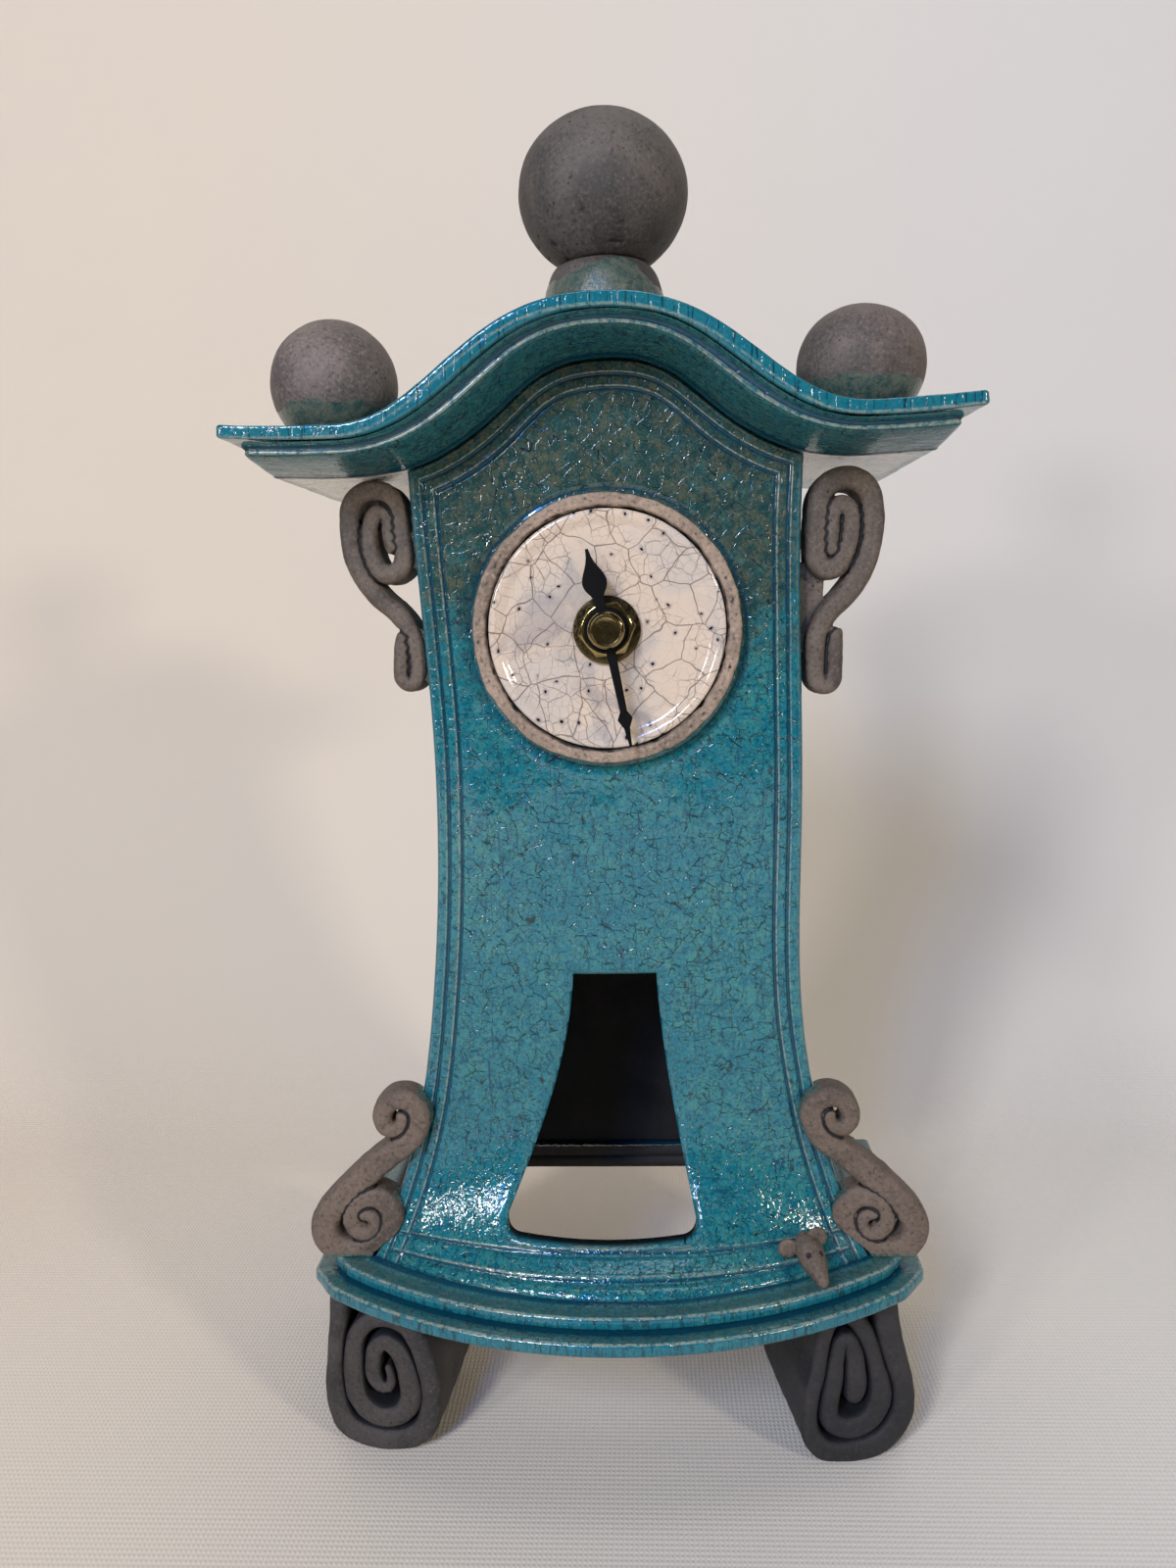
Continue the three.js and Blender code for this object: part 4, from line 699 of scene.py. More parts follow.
def inner_ring(outer):
    """The base's opening: each point pairs with the outer point in the same direction."""
    count = len(outer)
    inner = resampled(np.vstack([bow(56.5, 13, 99), [[56.5, 58]], [[-56.5, 58]]]), count)

    def turn(points):
        return np.unwrap(np.arctan2(points[:, 1] - 20, points[:, 0]))

    want, have = turn(outer), turn(inner)
    have = have - TAU * round((have[0] - want[0]) / TAU)
    table = np.concatenate([have - TAU, have, have + TAU])
    return np.stack([np.interp(want, table, np.tile(inner[:, k], 3)) for k in (0, 1)], 1)


def base_frame(setback, z0, z1, seed):
    """One of the base's two frames: a rounded rim, a ledge with a hollow, and a flat underside."""
    count = 640
    outer = resampled(base_plan(setback), count)
    for _ in range(3):
        outer = (outer + np.roll(outer, 1, 0) + np.roll(outer, -1, 0)) / 3
    tangent = np.roll(outer, -1, 0) - np.roll(outer, 1, 0)
    normal = np.stack([tangent[:, 1], -tangent[:, 0]], 1)
    normal /= np.linalg.norm(normal, axis=1)[:, None]
    inner = inner_ring(outer)

    def ring(flat, z):
        return np.column_stack([flat, np.full(count, z)])

    tall = z1 - z0
    rim = [
        (0.75, 0.0), (0.25, 0.12), (0.02, 0.5), (-0.04, 0.3 * tall), (0.0, 0.6 * tall),
        (0.06, tall - 0.65), (0.3, tall - 0.2), (0.75, tall),
    ]
    ledge = [
        (1.3, tall + 0.02), (2.2, tall - 0.1), (3.2, tall - 0.22), (4.0, tall - 0.34), (4.5, tall - 0.4),
        (5.0, tall - 0.4), (5.5, tall - 0.3), (6.2, tall - 0.15), (7.0, tall),
    ]
    ledge_start, ledge_end = len(rim), len(rim) + len(ledge)
    rings = [ring(outer - normal * inward, z0 + rise) for inward, rise in rim + ledge]
    last = outer - normal * ledge[-1][0]
    rings += [ring(last + (inner - last) * t, z1) for t in (0.25, 0.5, 0.75, 1.0)]
    rings += [ring(inner, (z0 + z1) / 2), ring(inner, z0)]
    rings += [ring(outer + (inner - outer) * t, z0) for t in (0.66, 0.33)]
    mesh = hoop("base", rings)
    points = points_of(mesh)
    wave = 0.16 * lumps(points, 14, seed) + 0.07 * lumps(points, 3.5, seed + 3)
    outward = normals_of(mesh)
    outward[:, 2] = np.where(points[:, 2] > z1 - 0.5, outward[:, 2], 0)
    set_points(mesh, points + outward * wave[:, None])
    points = points_of(mesh)
    if setback:
        side_gap = np.abs(points[:, 0] - 1.0) - 63.0
        face_gap = panel_face(points[:, 0] / 63.0, WALL_FOOT) - points[:, 1]
        gap = np.maximum(side_gap, face_gap)
    else:
        inward = [inward for inward, _ in rim + ledge] + [9] * (len(rings) - ledge_end)
        gap = 5.0 - np.repeat(inward, count)
    gap = np.maximum(gap - 0.1, 0)
    on_top = points[:, 2] > z1 - 0.6
    order = np.arange(len(points)) // count
    on_ledge = (order > ledge_start - 1) & (order < ledge_end + 4)
    bare_ledge = 1 - bell(gap, 0, 1.5)
    put_masks(
        mesh,
        pool=bell(gap, 0, 0.8) * on_top,
        rim=np.interp(order, ledge_start + np.array([-3, -2, -1, 0]), [0, 1, 0.6, 0.0], 0, 0),
        # A lighter grey-green on the top of the ledge, away from the panel.
        dusty=0.75 * on_ledge * bare_ledge * (0.75 + 0.25 * lumps(points, 9, seed + 7)),
        split=0.8 * (order < ledge_start),
        edge=0.7 * (order < ledge_start - 1),
        bare=smoothstep(18, 30, points[:, 1]) * (order >= ledge_end),
    )
    set_points(mesh, points + np.array([-1.0, 0, 0]))
    return moved(mesh)


def back_panel():
    mesh = bpy.data.meshes.new_from_object(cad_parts["back_panel"])
    mesh = fused(mesh, 0.95)
    set_points(mesh, relaxed(mesh, points_of(mesh), 4))
    roughen(mesh, [(0.25, 20), (0.08, 4)], 41)
    relief_masks(mesh, 5, 0.15)
    return mesh


# Straps of clay
def strap_line(start, heading, bends, step=8.0, spacing=1.3):
    """Stations along a strap: place, angle, share of the length, and room on its two sides."""
    total = sum(length for length, _ in bends)
    x, z = start
    angle = math.radians(heading)
    done = 0.0
    line = [[x, z, angle, 0.0, [total, total]]]
    for length, turn in bends:
        count = max(1, math.ceil(abs(turn) / step), math.ceil(length / spacing))
        inside = length / abs(math.radians(turn)) - 0.25 if turn else total
        room = [inside if turn < 0 else total, inside if turn > 0 else total]
        line[-1][4] = [min(a, b) for a, b in zip(line[-1][4], room)]
        for _ in range(count):
            angle += math.radians(turn) / count / 2
            x += length / count * math.cos(angle)
            z += length / count * math.sin(angle)
            angle += math.radians(turn) / count / 2
            done += length / count
            line.append([x, z, angle, done / total, room])
    return line


def strap_half(thickness, share):
    """Half the width of a strap at a share of its length."""
    first, middle, last = thickness
    end = first if share < 0.5 else last
    return (end + (middle - end) * max(0.0, math.sin(math.pi * share)) ** 0.7) / 2


def strap_mesh(name, line, thickness, y0, y1, corner, depth_steps=8):
    """A strap with round edges along a line; thickness gives its start, middle and end."""
    def ring(x, z, angle, half, room, trim):
        c = min(corner, half * 0.92, (y1 - y0) / 2.2)
        outline = rounded_box(-half, half, y0 + trim, y1 - trim, c * max(0.12, 1 - trim / half), 2, depth_steps)
        points = []
        for across, y in outline:
            across = max(-room[0], min(room[1], across))
            points.append((x - across * math.sin(angle), y, z + across * math.cos(angle)))
        return points

    def end(station, share, slopes, sign):
        x, z, angle, _, room = station
        h = strap_half(thickness, share)
        return [
            ring(
                x + sign * h * math.sin(a) * math.cos(angle), z + sign * h * math.sin(a) * math.sin(angle),
                angle, h * math.cos(a), room, h * (1 - math.cos(a)) * 0.6,
            ) for a in np.radians(slopes)
        ]

    rings = end(line[0], 0, [80, 55, 30], -1)
    for x, z, angle, share, room in line:
        rings.append(ring(x, z, angle, strap_half(thickness, share), room, 0.0))
    return tube(name, rings + end(line[-1], 1, [30, 55, 80], 1))


# Middle line of each foot's strap on its front face: across, up, and half its width
LEFT_FOOT = [
    (-9.8, 50, 2.6), (-10.3, 44, 2.6), (-10.9, 38, 2.6), (-12.0, 29.7, 2.25), (-12.9, 22, 2.25), (-13.0, 16, 2.6),
    (-12.2, 10.5, 2.9), (-9.7, 5.8, 3.1), (-3.5, 3.2, 3.0), (2, 2.9, 3.0), (7.2, 4.1, 3.2), (11.0, 7.8, 3.1),
    (12.4, 14.5, 2.5), (12.1, 20, 2.6), (10.9, 26, 2.8), (9.0, 31.2, 2.8), (5.9, 35.0, 2.7), (1, 36.6, 2.7),
    (-3.5, 35.2, 2.6), (-6.8, 30.8, 2.6), (-7.7, 25, 2.8), (-7.8, 19.5, 2.8), (-7.0, 14.2, 2.9), (-4.1, 10.4, 3.0),
    (0, 9.0, 2.9), (4.4, 10.4, 3.0), (6.9, 14.6, 3.0), (6.6, 20, 2.9), (5.2, 25.5, 2.7), (3.2, 28.7, 2.6),
    (0.5, 29.9, 2.6), (-1.9, 27.8, 2.4), (-2.6, 24, 2.35), (-2.5, 20.3, 2.3), (-1.0, 17.9, 2.0), (1.1, 17.7, 1.7),
    (2.1, 19.6, 1.3), (1.9, 21.8, 1.0), (1.5, 23.2, 0.8),
]
RIGHT_FOOT = [
    (-6.0, 50, 3.4), (-6.8, 44, 3.3), (-7.6, 37.2, 3.2), (-8.6, 32.2, 3.1), (-10.1, 26.3, 3.0), (-11.6, 21.3, 2.9),
    (-12.3, 16.3, 2.9), (-11.7, 11.2, 3.2), (-8.6, 6.3, 3.3), (-4.7, 3.9, 3.2), (0, 3.0, 3.1), (4.5, 3.0, 3.0),
    (8.8, 4.4, 3.0), (11.5, 8.3, 2.5), (12.1, 13, 2.1), (11.6, 18, 2.1), (10.4, 24, 2.2), (9.4, 29.5, 2.1),
    (8.5, 34.5, 2.0), (6.8, 38.6, 2.2), (3.8, 40.2, 2.3), (0.6, 38.6, 2.4), (-2.0, 34.6, 2.4), (-3.8, 30, 2.2),
    (-5.1, 25, 2.35), (-6.1, 20, 2.9), (-5.9, 15.6, 3.1), (-3.8, 11.4, 3.1), (0, 9.5, 3.1), (3.7, 9.7, 3.0),
    (6.7, 12.0, 2.7), (7.0, 16.4, 2.5), (5.8, 22.7, 2.4), (5.2, 28, 2.2), (4.2, 32.6, 2.1), (2.2, 33.6, 2.1),
    (0.7, 29.5, 2.5), (0.2, 24.5, 2.8), (0.1, 20.5, 2.9), (0.5, 18.4, 2.6),
]


def smooth_line(stops, spacing):
    """A curve through the stops, with a station every so often."""
    stops = np.asarray(stops, float)
    stops = np.vstack([2 * stops[0] - stops[1], stops, 2 * stops[-1] - stops[-2]])
    line = []
    for a, b, c, d in zip(stops, stops[1:], stops[2:], stops[3:]):
        steps = max(1, round(np.linalg.norm((c - b)[:2]) / spacing))
        for t in np.arange(steps) / steps:
            line.append(0.5 * (2 * b + (c - a) * t + (2 * a - 5 * b + 4 * c - d) * t**2 + (3 * (b - c) + d - a) * t**3))
    line.append(stops[-2])
    return np.array(line)


def foot(stops, place, yaw, mirrored, scale, seed):
    """One strap coiled up, cut flat above and below."""
    line = smooth_line(stops, 0.9)
    ahead = np.gradient(line[:, :2], axis=0)
    length = np.linalg.norm(ahead, axis=1)
    ahead /= length[:, None]
    left = np.stack([-ahead[:, 1], ahead[:, 0]], 1)
    turn = np.einsum("ij,ij->i", np.gradient(ahead, axis=0), left) / length
    inner = 0.8 / np.maximum(np.abs(turn), 1e-3)

    def ring(i, shrink, shift):
        half = line[i, 2] * shrink
        corner = min(1.9, half * 0.85)
        points = []
        for across, y in rounded_box(-half, half, (1 - shrink) * 1.5, 40, corner, 3, 16):
            if across * turn[i] > 0:
                across = math.copysign(min(abs(across), inner[i]), across)
            x, z = line[i, :2] + left[i] * across + ahead[i] * shift
            points.append((x, y, z))
        return points

    rings = [ring(i, 1.0, 0.0) for i in range(len(line))]
    for a in np.radians([30, 55, 80]):
        rings.append(ring(len(line) - 1, math.cos(a), line[-1, 2] * math.sin(a)))
    mesh = tube("foot", rings)
    points = points_of(mesh) * np.array(scale)
    if mirrored:
        points[:, 0] *= -1
    set_points(mesh, points)
    facing_out(mesh)
    roughen(mesh, [(0.25, 16), (0.2, 5), (0.08, 1.8)], seed)
    put_masks(mesh, pool=foot_grooves(mesh, line, scale, mirrored))
    points = points_of(mesh)
    points[:, 2] = np.clip(points[:, 2], 0.0, 44.7)
    c, s = math.cos(math.radians(yaw)), math.sin(math.radians(yaw))
    points = points @ np.array([[c, s, 0], [-s, c, 0], [0, 0, 1]])
    set_points(mesh, points + np.array([place[0], place[1], 0]))
    return moved(mesh)


def foot_grooves(mesh, line, scale, mirrored):
    """Painted shade where two turns of the strap meet: near the strap's edge and inside the coil."""
    points = points_of(mesh) / np.array([-scale[0] if mirrored else scale[0], 1, scale[2]])
    outside = np.full(len(points), 1e9)
    for x, z, half in line:
        outside = np.minimum(outside, np.hypot(points[:, 0] - x, points[:, 2] - z) - half)
    hull = np.hypot(points[:, 0] / 13.6, (points[:, 2] - 19.5) / 21)
    near = 1 - smoothstep(0.35, 1.3, np.abs(outside))
    return near * smoothstep(0.5, 1.6, points[:, 1]) * (1 - smoothstep(0.93, 1.0, hull))


# Bends are (length, turn in degrees) from one end of a strap to the other
LOWER_BENDS = [(8, -175), (18, -215), (8, -40), (27, 15), (15, 135), (13.5, 60), (24, 255), (11, 230)]

# Start in x and z, heading, bends, thickness at start, middle and end, and front and rear
SCROLLS = {
    "left_upper_scroll": (
        (-51.3, 230.1), 103,
        [(6, -15), (5.5, 155), (12, 55), (10, 155), (11, 5), (17.5, 170), (6, 5), (18.5, 50), (19.5, -66),
         (5.5, -164), (9.5, -15)],
        (3.6, 5, 3.6), 2, 15,
    ),
    "right_upper_scroll": (
        (53.4, 227), 92,
        [(8.5, -10), (5.5, -160), (12.5, -45), (7.5, -145), (13, -10), (17, -160), (27, -60), (13, 50), (6, 0),
         (6, 175), (10.5, 0)],
        (3.8, 5.4, 3.6), 2, 15,
    ),
    "left_lower_scroll": ((-54, 88.5), -75, LOWER_BENDS, (3.6, 7, 3.2), -5, 3.5),
    "right_lower_scroll": (
        (52.6, 88.5), 255, [(length, -turn) for length, turn in LOWER_BENDS], (3.6, 7, 3.2), -5, 3.5,
    ),
}


def strap_joins(points, line, thickness):
    """1 along the lines where two turns of a coiled strap meet, fading to 0 beside them."""
    line = [(x, z, share, strap_half(thickness, share)) for x, z, _, share, _ in line]
    length = sum(math.dist(a[:2], b[:2]) for a, b in zip(line, line[1:]))
    apart = 2.6 * max(half for *_, half in line)
    nearest = np.full(len(points), 1e9)
    along = np.zeros(len(points))
    for x, z, share, half in line:
        distance = np.hypot(points[:, 0] - x, points[:, 2] - z) - half
        along = np.where(distance < nearest, share * length, along)
        nearest = np.minimum(nearest, distance)
    other = np.full(len(points), 1e9)
    for x, z, share, half in line:
        distance = np.hypot(points[:, 0] - x, points[:, 2] - z) - half
        distance[np.abs(along - share * length) < apart] = 1e9
        other = np.minimum(other, distance)
    return bell(other, nearest, 0.6) * smoothstep(-1.9, -0.9, nearest)


def case_block():
    """The space of the case, a little larger all round, from its face to its back."""
    rows = spaced(WALL_FOOT - 8, (60, 8), (110, 20), (252, 24))
    shares = np.sin(np.linspace(-1, 1, 13) * math.pi / 2)
    rings = []
    for z in rows:
        wide = float(wall_half(z)) + 0.25
        front = [(float(wall_sway(z)) + s * wide, float(panel_face(s, z)) - 0.25, z) for s in shares]
        rear = [(float(wall_sway(z)) + s * wide, BACK_FRONT, z) for s in shares[::-1]]
        rings.append(front + rear)
    return tube("block", rings)


def scroll(name, seed):
    start, heading, bends, thickness, y0, y1 = SCROLLS[name]
    line = strap_line(start, heading, bends)
    mesh = strap_mesh(name, line, thickness, y0, y1, 1.9)
    if name == "right_upper_scroll":
        pad = tube("pad", [
            [(x, y, z) for x, z in rounded_box(44, 52, 203, 224, 1.5, 4, 10)] for y in (6, 15)
        ])
        mesh = joined(mesh, pad)
    mesh = fused(mesh, 0.27)
    set_points(mesh, relaxed(mesh, points_of(mesh), 3))
    points = points_of(mesh)
    meet = np.zeros(len(points))
    ahead = points[:, 1] < y0 + 3
    meet[ahead] = strap_joins(points[ahead], line[::2], thickness)
    push(mesh, -0.5 * meet)
    roughen(mesh, [(0.2, 12), (0.14, 3.5), (0.07, 1.4)], seed)
    relief_masks(mesh, 16, 0.22)
    # Where two turns of the strap meet, the pushed-in join is also darkened: painted shade.
    rim, pool = mask_of(mesh, "rim"), np.maximum(0.8 * mask_of(mesh, "pool"), meet)
    tree = KDTree(len(points))
    for i, p in enumerate(points_of(mesh)):
        tree.insert(p, i)
    tree.balance()
    if "upper" in name:
        under = [(x, float(roof_height(x, UNDERSIDE)) - 0.25) for x in np.linspace(-82, 82, 60)]
        carrier = prism("roof", under + [(90, 300), (-90, 300)], -30, 40)
    else:
        carrier = prism("floor", [(-100, 0), (100, 0), (100, WALL_FOOT), (-100, WALL_FOOT)], -60, 60)
    mesh = subtract(mesh, case_block(), carrier)
    points = points_of(mesh)
    nearest = np.array([tree.find(p)[1] for p in points])
    put_masks(mesh, rim=rim[nearest], pool=pool[nearest], glaze=scroll_glaze(name, points, y0))
    return moved(mesh)


def scroll_glaze(name, points, front):
    """Glaze has run onto a scroll where it meets the walls, the roof and the base."""
    x, z = points[:, 0], points[:, 2]
    gap = np.abs(x - wall_sway(z)) - wall_half(z)
    ragged = 1.2 * lumps(points, 5, 7)
    near = 1 - smoothstep(0.4, 1.8, gap + 0.6 * ragged)
    near *= smoothstep(0.5, 1.7, points[:, 1] - front + 0.5 * ragged)
    if "upper" in name:
        top = 1 - smoothstep(0.3, 1.8, roof_height(x, UNDERSIDE) - z + ragged)
        return np.maximum(near, top)
    base = 1 - smoothstep(0.1, 1.3, z - WALL_FOOT + 0.6 * ragged)
    return np.maximum(near, base)


# Balls, collar and mouse
def ball(radius, squash, flat, centre, seat, seed):
    """A ball of clay, a little squashed, with a flat seat and small pits near its foot."""
    start = math.asin((-radius + flat) / radius)
    angles = np.linspace(start, math.pi / 2, 74)
    profile = [(0.0, -radius + flat)]
    profile += [(radius * math.cos(start) * t, -radius + flat) for t in (0.3, 0.6, 0.9)]
    profile += [(radius * math.cos(a), radius * math.sin(a)) for a in angles[:-1]]
    profile += [(0.0, radius)]
    mesh = turned("ball", profile, np.zeros(3), 128, axis="z")
    smooth = points_of(mesh)
    smooth[:, 2] = (smooth[:, 2] + radius - flat) * squash
    set_points(mesh, smooth)
    roughen(mesh, [(0.3, radius), (0.1, 6), (0.05, 2.0)], seed)
    points = points_of(mesh)
    where = smoothstep(0.0, 0.5, lumps(smooth, 12, seed + 60) + 0.5 - smooth[:, 2] / (2 * radius))
    pit = smoothstep(0.55, 0.8, lumps(smooth * np.array([0.6, 0.6, 1.2]), 1.3, seed + 50, 1) * where)
    points -= normals_of(mesh) * (0.3 * pit)[:, None]
    points[smooth[:, 2] < 0.02, 2] = 0
    set_points(mesh, points + np.array([*centre, seat]))
    put_masks(mesh, pool=0.6 * pit)
    return mesh


def side_ball(x, squash, seed):
    radius, depth = 15.4, 14
    seat = float(max(roof_top(x - radius / 3), roof_top(x + radius / 3))) + 0.3
    mesh = ball(radius, squash, 1.0, (x, depth), seat, seed)
    points = points_of(mesh)
    band = points[:, 2] - seat + 1.6 * lumps(points, 7, seed + 9) + 0.05 * (points[:, 1] - depth)
    put_masks(mesh, glaze=1 - smoothstep(7.2, 8.8, band))
    return moved(mesh)


def top_ball():
    radius = 20.3
    flat = radius - math.sqrt(radius**2 - 10.5**2)
    return moved(ball(radius, 0.93, flat, (0.7, 18), 296.3, 71))


def collar():
    """A low cone of clay that carries the top ball; its foot follows the roof."""
    segments = 120
    turns = np.arange(segments) * TAU / segments
    centre_x, centre_y, top, wide = 0.35, 18.0, 296.0, 15.2

    def ring(r, z):
        return np.stack([centre_x + r * np.cos(turns), centre_y + r * np.sin(turns), z], 1)

    foot_z = roof_top(centre_x + wide * np.cos(turns)) + 0.3
    rings = [ring(r, roof_top(centre_x + r * np.cos(turns)) + 0.3) for r in (3, 7, 11, 14)]
    for t in np.linspace(0, 1, 18):
        rings.append(ring(wide - 5.2 * t * t, foot_z + (top - foot_z) * math.sin(t * math.pi / 2) ** 0.9))
    rings += [ring(r, np.full(segments, top)) for r in (7, 3)]
    mesh = tube("collar", rings)
    points = points_of(mesh)
    wave = 0.3 * lumps(points, 7, 81) + 0.12 * lumps(points, 2.5, 83)
    shell = (points[:, 2] < top - 0.2) & (np.arange(len(points)) > 4 * segments)
    push(mesh, wave * shell)
    points = points_of(mesh)
    angle = np.arctan2(points[:, 1] - centre_y, points[:, 0] - centre_x) % TAU
    height = (points[:, 2] - np.interp(angle, turns, foot_z)) / 15
    put_masks(mesh, glaze=1 - smoothstep(0.75, 0.95, height + 0.3 * lumps(points, 6, 85)))
    return moved(mesh)


def ear(place):
    """A round ear with a hollow in its front."""
    angles = np.linspace(-math.pi / 2, math.pi / 2, 13)
    shape = [(2.5 * math.cos(a), 1.1 * math.sin(a)) for a in angles]
    shape[0], shape[-1] = (0.0, -1.1), (0.0, 1.1)
    mesh = turned("ear", shape, np.array(place), 32)
    points = points_of(mesh)
    radius = np.hypot(points[:, 0] - place[0], points[:, 2] - place[2])
    front = points[:, 1] < place[1] - 0.3
    points[:, 1] += np.where(front, 0.7 * bell(radius, 0, 1.2), 0)
    set_points(mesh, points)
    return mesh


def mouse_head():
    nose, back = np.array([48.4, -24.6, 55.7]), np.array([45.3, -11.2, 60.3])
    axis = nose - back
    length = np.linalg.norm(axis)
    axis /= length
    side = np.cross(axis, [0, 0, 1.0])
    side /= np.linalg.norm(side)
    up = np.cross(side, axis)
    shape = [(0, 2.3), (0.12, 3.0), (0.3, 3.45), (0.5, 3.1), (0.7, 2.3), (0.88, 1.6), (1.0, 1.25)]
    profile = [(0.0, -1.2), (1.2, -1.0), (1.9, -0.5)]
    for t in np.linspace(0, 0.93, 24):
        profile.append((float(np.interp(t, *zip(*shape))), t * length))
    for a in np.radians([25, 50, 72]):
        profile.append((1.4 * math.cos(a), (0.93 + 0.07 * math.sin(a)) * length))
    profile.append((0.0, length))
    head = turned("mouse", profile, np.zeros(3), 40)
    local = points_of(head)
    set_points(head, back + local[:, [0]] * side + local[:, [1]] * axis + local[:, [2]] * up)
    mesh = joined(head, ear((41.2, -13.4, 58.9)), ear((48.3, -12.8, 61.6)))
    mesh = fused(facing_out(mesh), 0.16)
    points = relaxed(mesh, points_of(mesh), 3)
    eyes = np.zeros(len(points))
    for turn in (35, -35):
        a = math.radians(90 + turn)
        eye = back + axis * (0.5 * length) + (side * math.cos(a) + up * math.sin(a)) * 3.1
        eyes = np.maximum(eyes, np.exp(-((np.linalg.norm(points - eye, axis=1) / 0.7) ** 4)))
    set_points(mesh, points)
    set_points(mesh, points - normals_of(mesh) * (0.35 * eyes)[:, None])
    roughen(mesh, [(0.12, 4), (0.05, 1.5)], 91)
    relief_masks(mesh, 8, 0.2)
    put_masks(mesh, pool=np.maximum(mask_of(mesh, "pool") * 0.6, eyes))
    return moved(mesh)


# Dial and hardware
def dial_ring():
    profile = rounded_box(28.4, 31.8, -5, -0.3, 1.2, 4, 6, arc=5)
    mesh = turned_ring("ring", profile, DIAL, 260)
    points = points_of(mesh)
    wave = 0.42 * lumps(points, 9, 101) + 0.2 * lumps(points, 2.2, 103) + 0.1 * lumps(points, 0.9, 105)
    front = points[:, 1] < -1.2
    inner = np.hypot(points[:, 0], points[:, 2] - DIAL_HEIGHT) < 28.7
    crumbly = smoothstep(0.25, 0.7, lumps(points, 2.2, 107)) * inner
    push(mesh, (wave - 0.4 * crumbly) * front)
    relief_masks(mesh, 5, 0.12)
    radius = np.hypot(points[:, 0], points[:, 2] - DIAL_HEIGHT)
    shade = smoothstep(29.1, 28.5, radius) * (0.5 + 0.5 * lumps(points, 3, 109))
    glazed = smoothstep(31.3, 31.7, radius + 0.25 * lumps(points, 8, 111))
    put_masks(mesh, pool=np.maximum(mask_of(mesh, "pool"), shade), glaze=glazed)
    return moved(mesh)


def dial_disc():
    """The round plate of the dial, with a low rim and a bored middle."""
    front = -2.9
    radii = np.concatenate([np.linspace(4.5, 24, 50), np.linspace(24.4, 26.8, 12), [27.2, 27.6, 27.85, 28.0]])
    face = []
    for r in radii:
        lift = 1.2 * float(smoothstep(23.8, 26.9, r))
        drop = 0.35 * max(0, (r - 27.2) / 0.8) ** 2
        face.append((r, front - lift + drop))
    profile = face + [(28.0, -2.0), (28.0, -0.3), (16, -0.3), (4.5, -0.3), (4.5, -1.5)]
    mesh = turned_ring("disc", profile, DIAL, 200)
    points = points_of(mesh)
    wave = 0.1 * lumps(points, 10, 121) + 0.03 * lumps(points, 2.5, 123)
    points[:, 1] -= wave * (points[:, 1] < -2.5)
    set_points(mesh, points)
    return moved(mesh)


def brass_washer():
    return moved(turned_ring("washer", rounded_box(4.2, 8, -4.0, -3.2, 0.12, 3, 2, arc=3), DIAL, 96))


def dial_round(radius, y, angles):
    """A ring of points about the dial's axis; radius is one number, or one for each angle."""
    return np.stack([radius * np.cos(angles), np.full(len(angles), y), radius * np.sin(angles)], 1) + DIAL


def hex_nut():
    """A hexagon whose front corners are turned off by a cone, with a bevelled bore."""
    flats, bore, front, rear = 6.0, 4.2, -6.5, -4.3
    tilt = math.radians(8.5)
    angles = np.arange(144) * TAU / 144
    hexagon = flats / np.cos((angles - tilt) % (math.pi / 3) - math.pi / 6)
    rings = [(bore, rear), (hexagon - 0.08, rear), (hexagon, rear - 0.08)]
    for back, reach in ((0.62, 6.95), (0.42, 6.6), (0.2, 6.2), (0.06, 5.95)):
        rings.append((np.minimum(hexagon, reach), front + back))
    rings += [(5.75, front), (4.6, front), (bore, front + 0.35)]
    return moved(hoop("nut", [dial_round(radius, y, angles) for radius, y in rings]))


def bushing():
    """A pipe with a thread cut along its outside."""
    front, rear, pitch = -12.7, 9.0, 0.75
    angles = np.arange(48) * TAU / 48
    rings = []
    for y in np.linspace(front, rear, int((rear - front) / pitch * 10)):
        phase = (y / pitch + angles / TAU) % 1
        depth = 0.32 * (1 - np.abs(2 * phase - 1)) ** 0.8
        fade = float(smoothstep(front, front + 0.5, y) * smoothstep(rear, rear - 0.5, y))
        rings.append(dial_round(3.9 - depth * fade - 0.15 * (1 - fade), y, angles))
    rings += [dial_round(3.2, y, angles) for y in (rear, front)]
    return moved(hoop("bushing", rings))


def cap_nut():
    """A turned cap with a rounded shoulder and a shallow dished face, bored at the rear."""
    radius, shoulder = 4.3, 0.85
    low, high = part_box("cap_nut")
    front, rear = low.y / MM - PLACE[1], high.y / MM - PLACE[1]
    profile = [(0.0, front + 0.1), (1.5, front + 0.09), (2.9, front + 0.04), (3.1, front + 0.0), (3.3, front + 0.02)]
    for a in np.radians(np.linspace(90, 0, 7)):
        profile.append((radius - shoulder + shoulder * math.cos(a), front + shoulder - shoulder * math.sin(a)))
    profile += [
        (radius, rear - 0.7), (radius - 0.06, rear - 0.62), (radius - 0.06, rear - 0.5), (radius, rear - 0.42),
        (radius, rear - 0.1), (radius - 0.1, rear), (2.0, rear), (2.0, rear - 1.6), (0.0, rear - 1.6),
    ]
    return moved(turned("cap", profile, DIAL, 96))


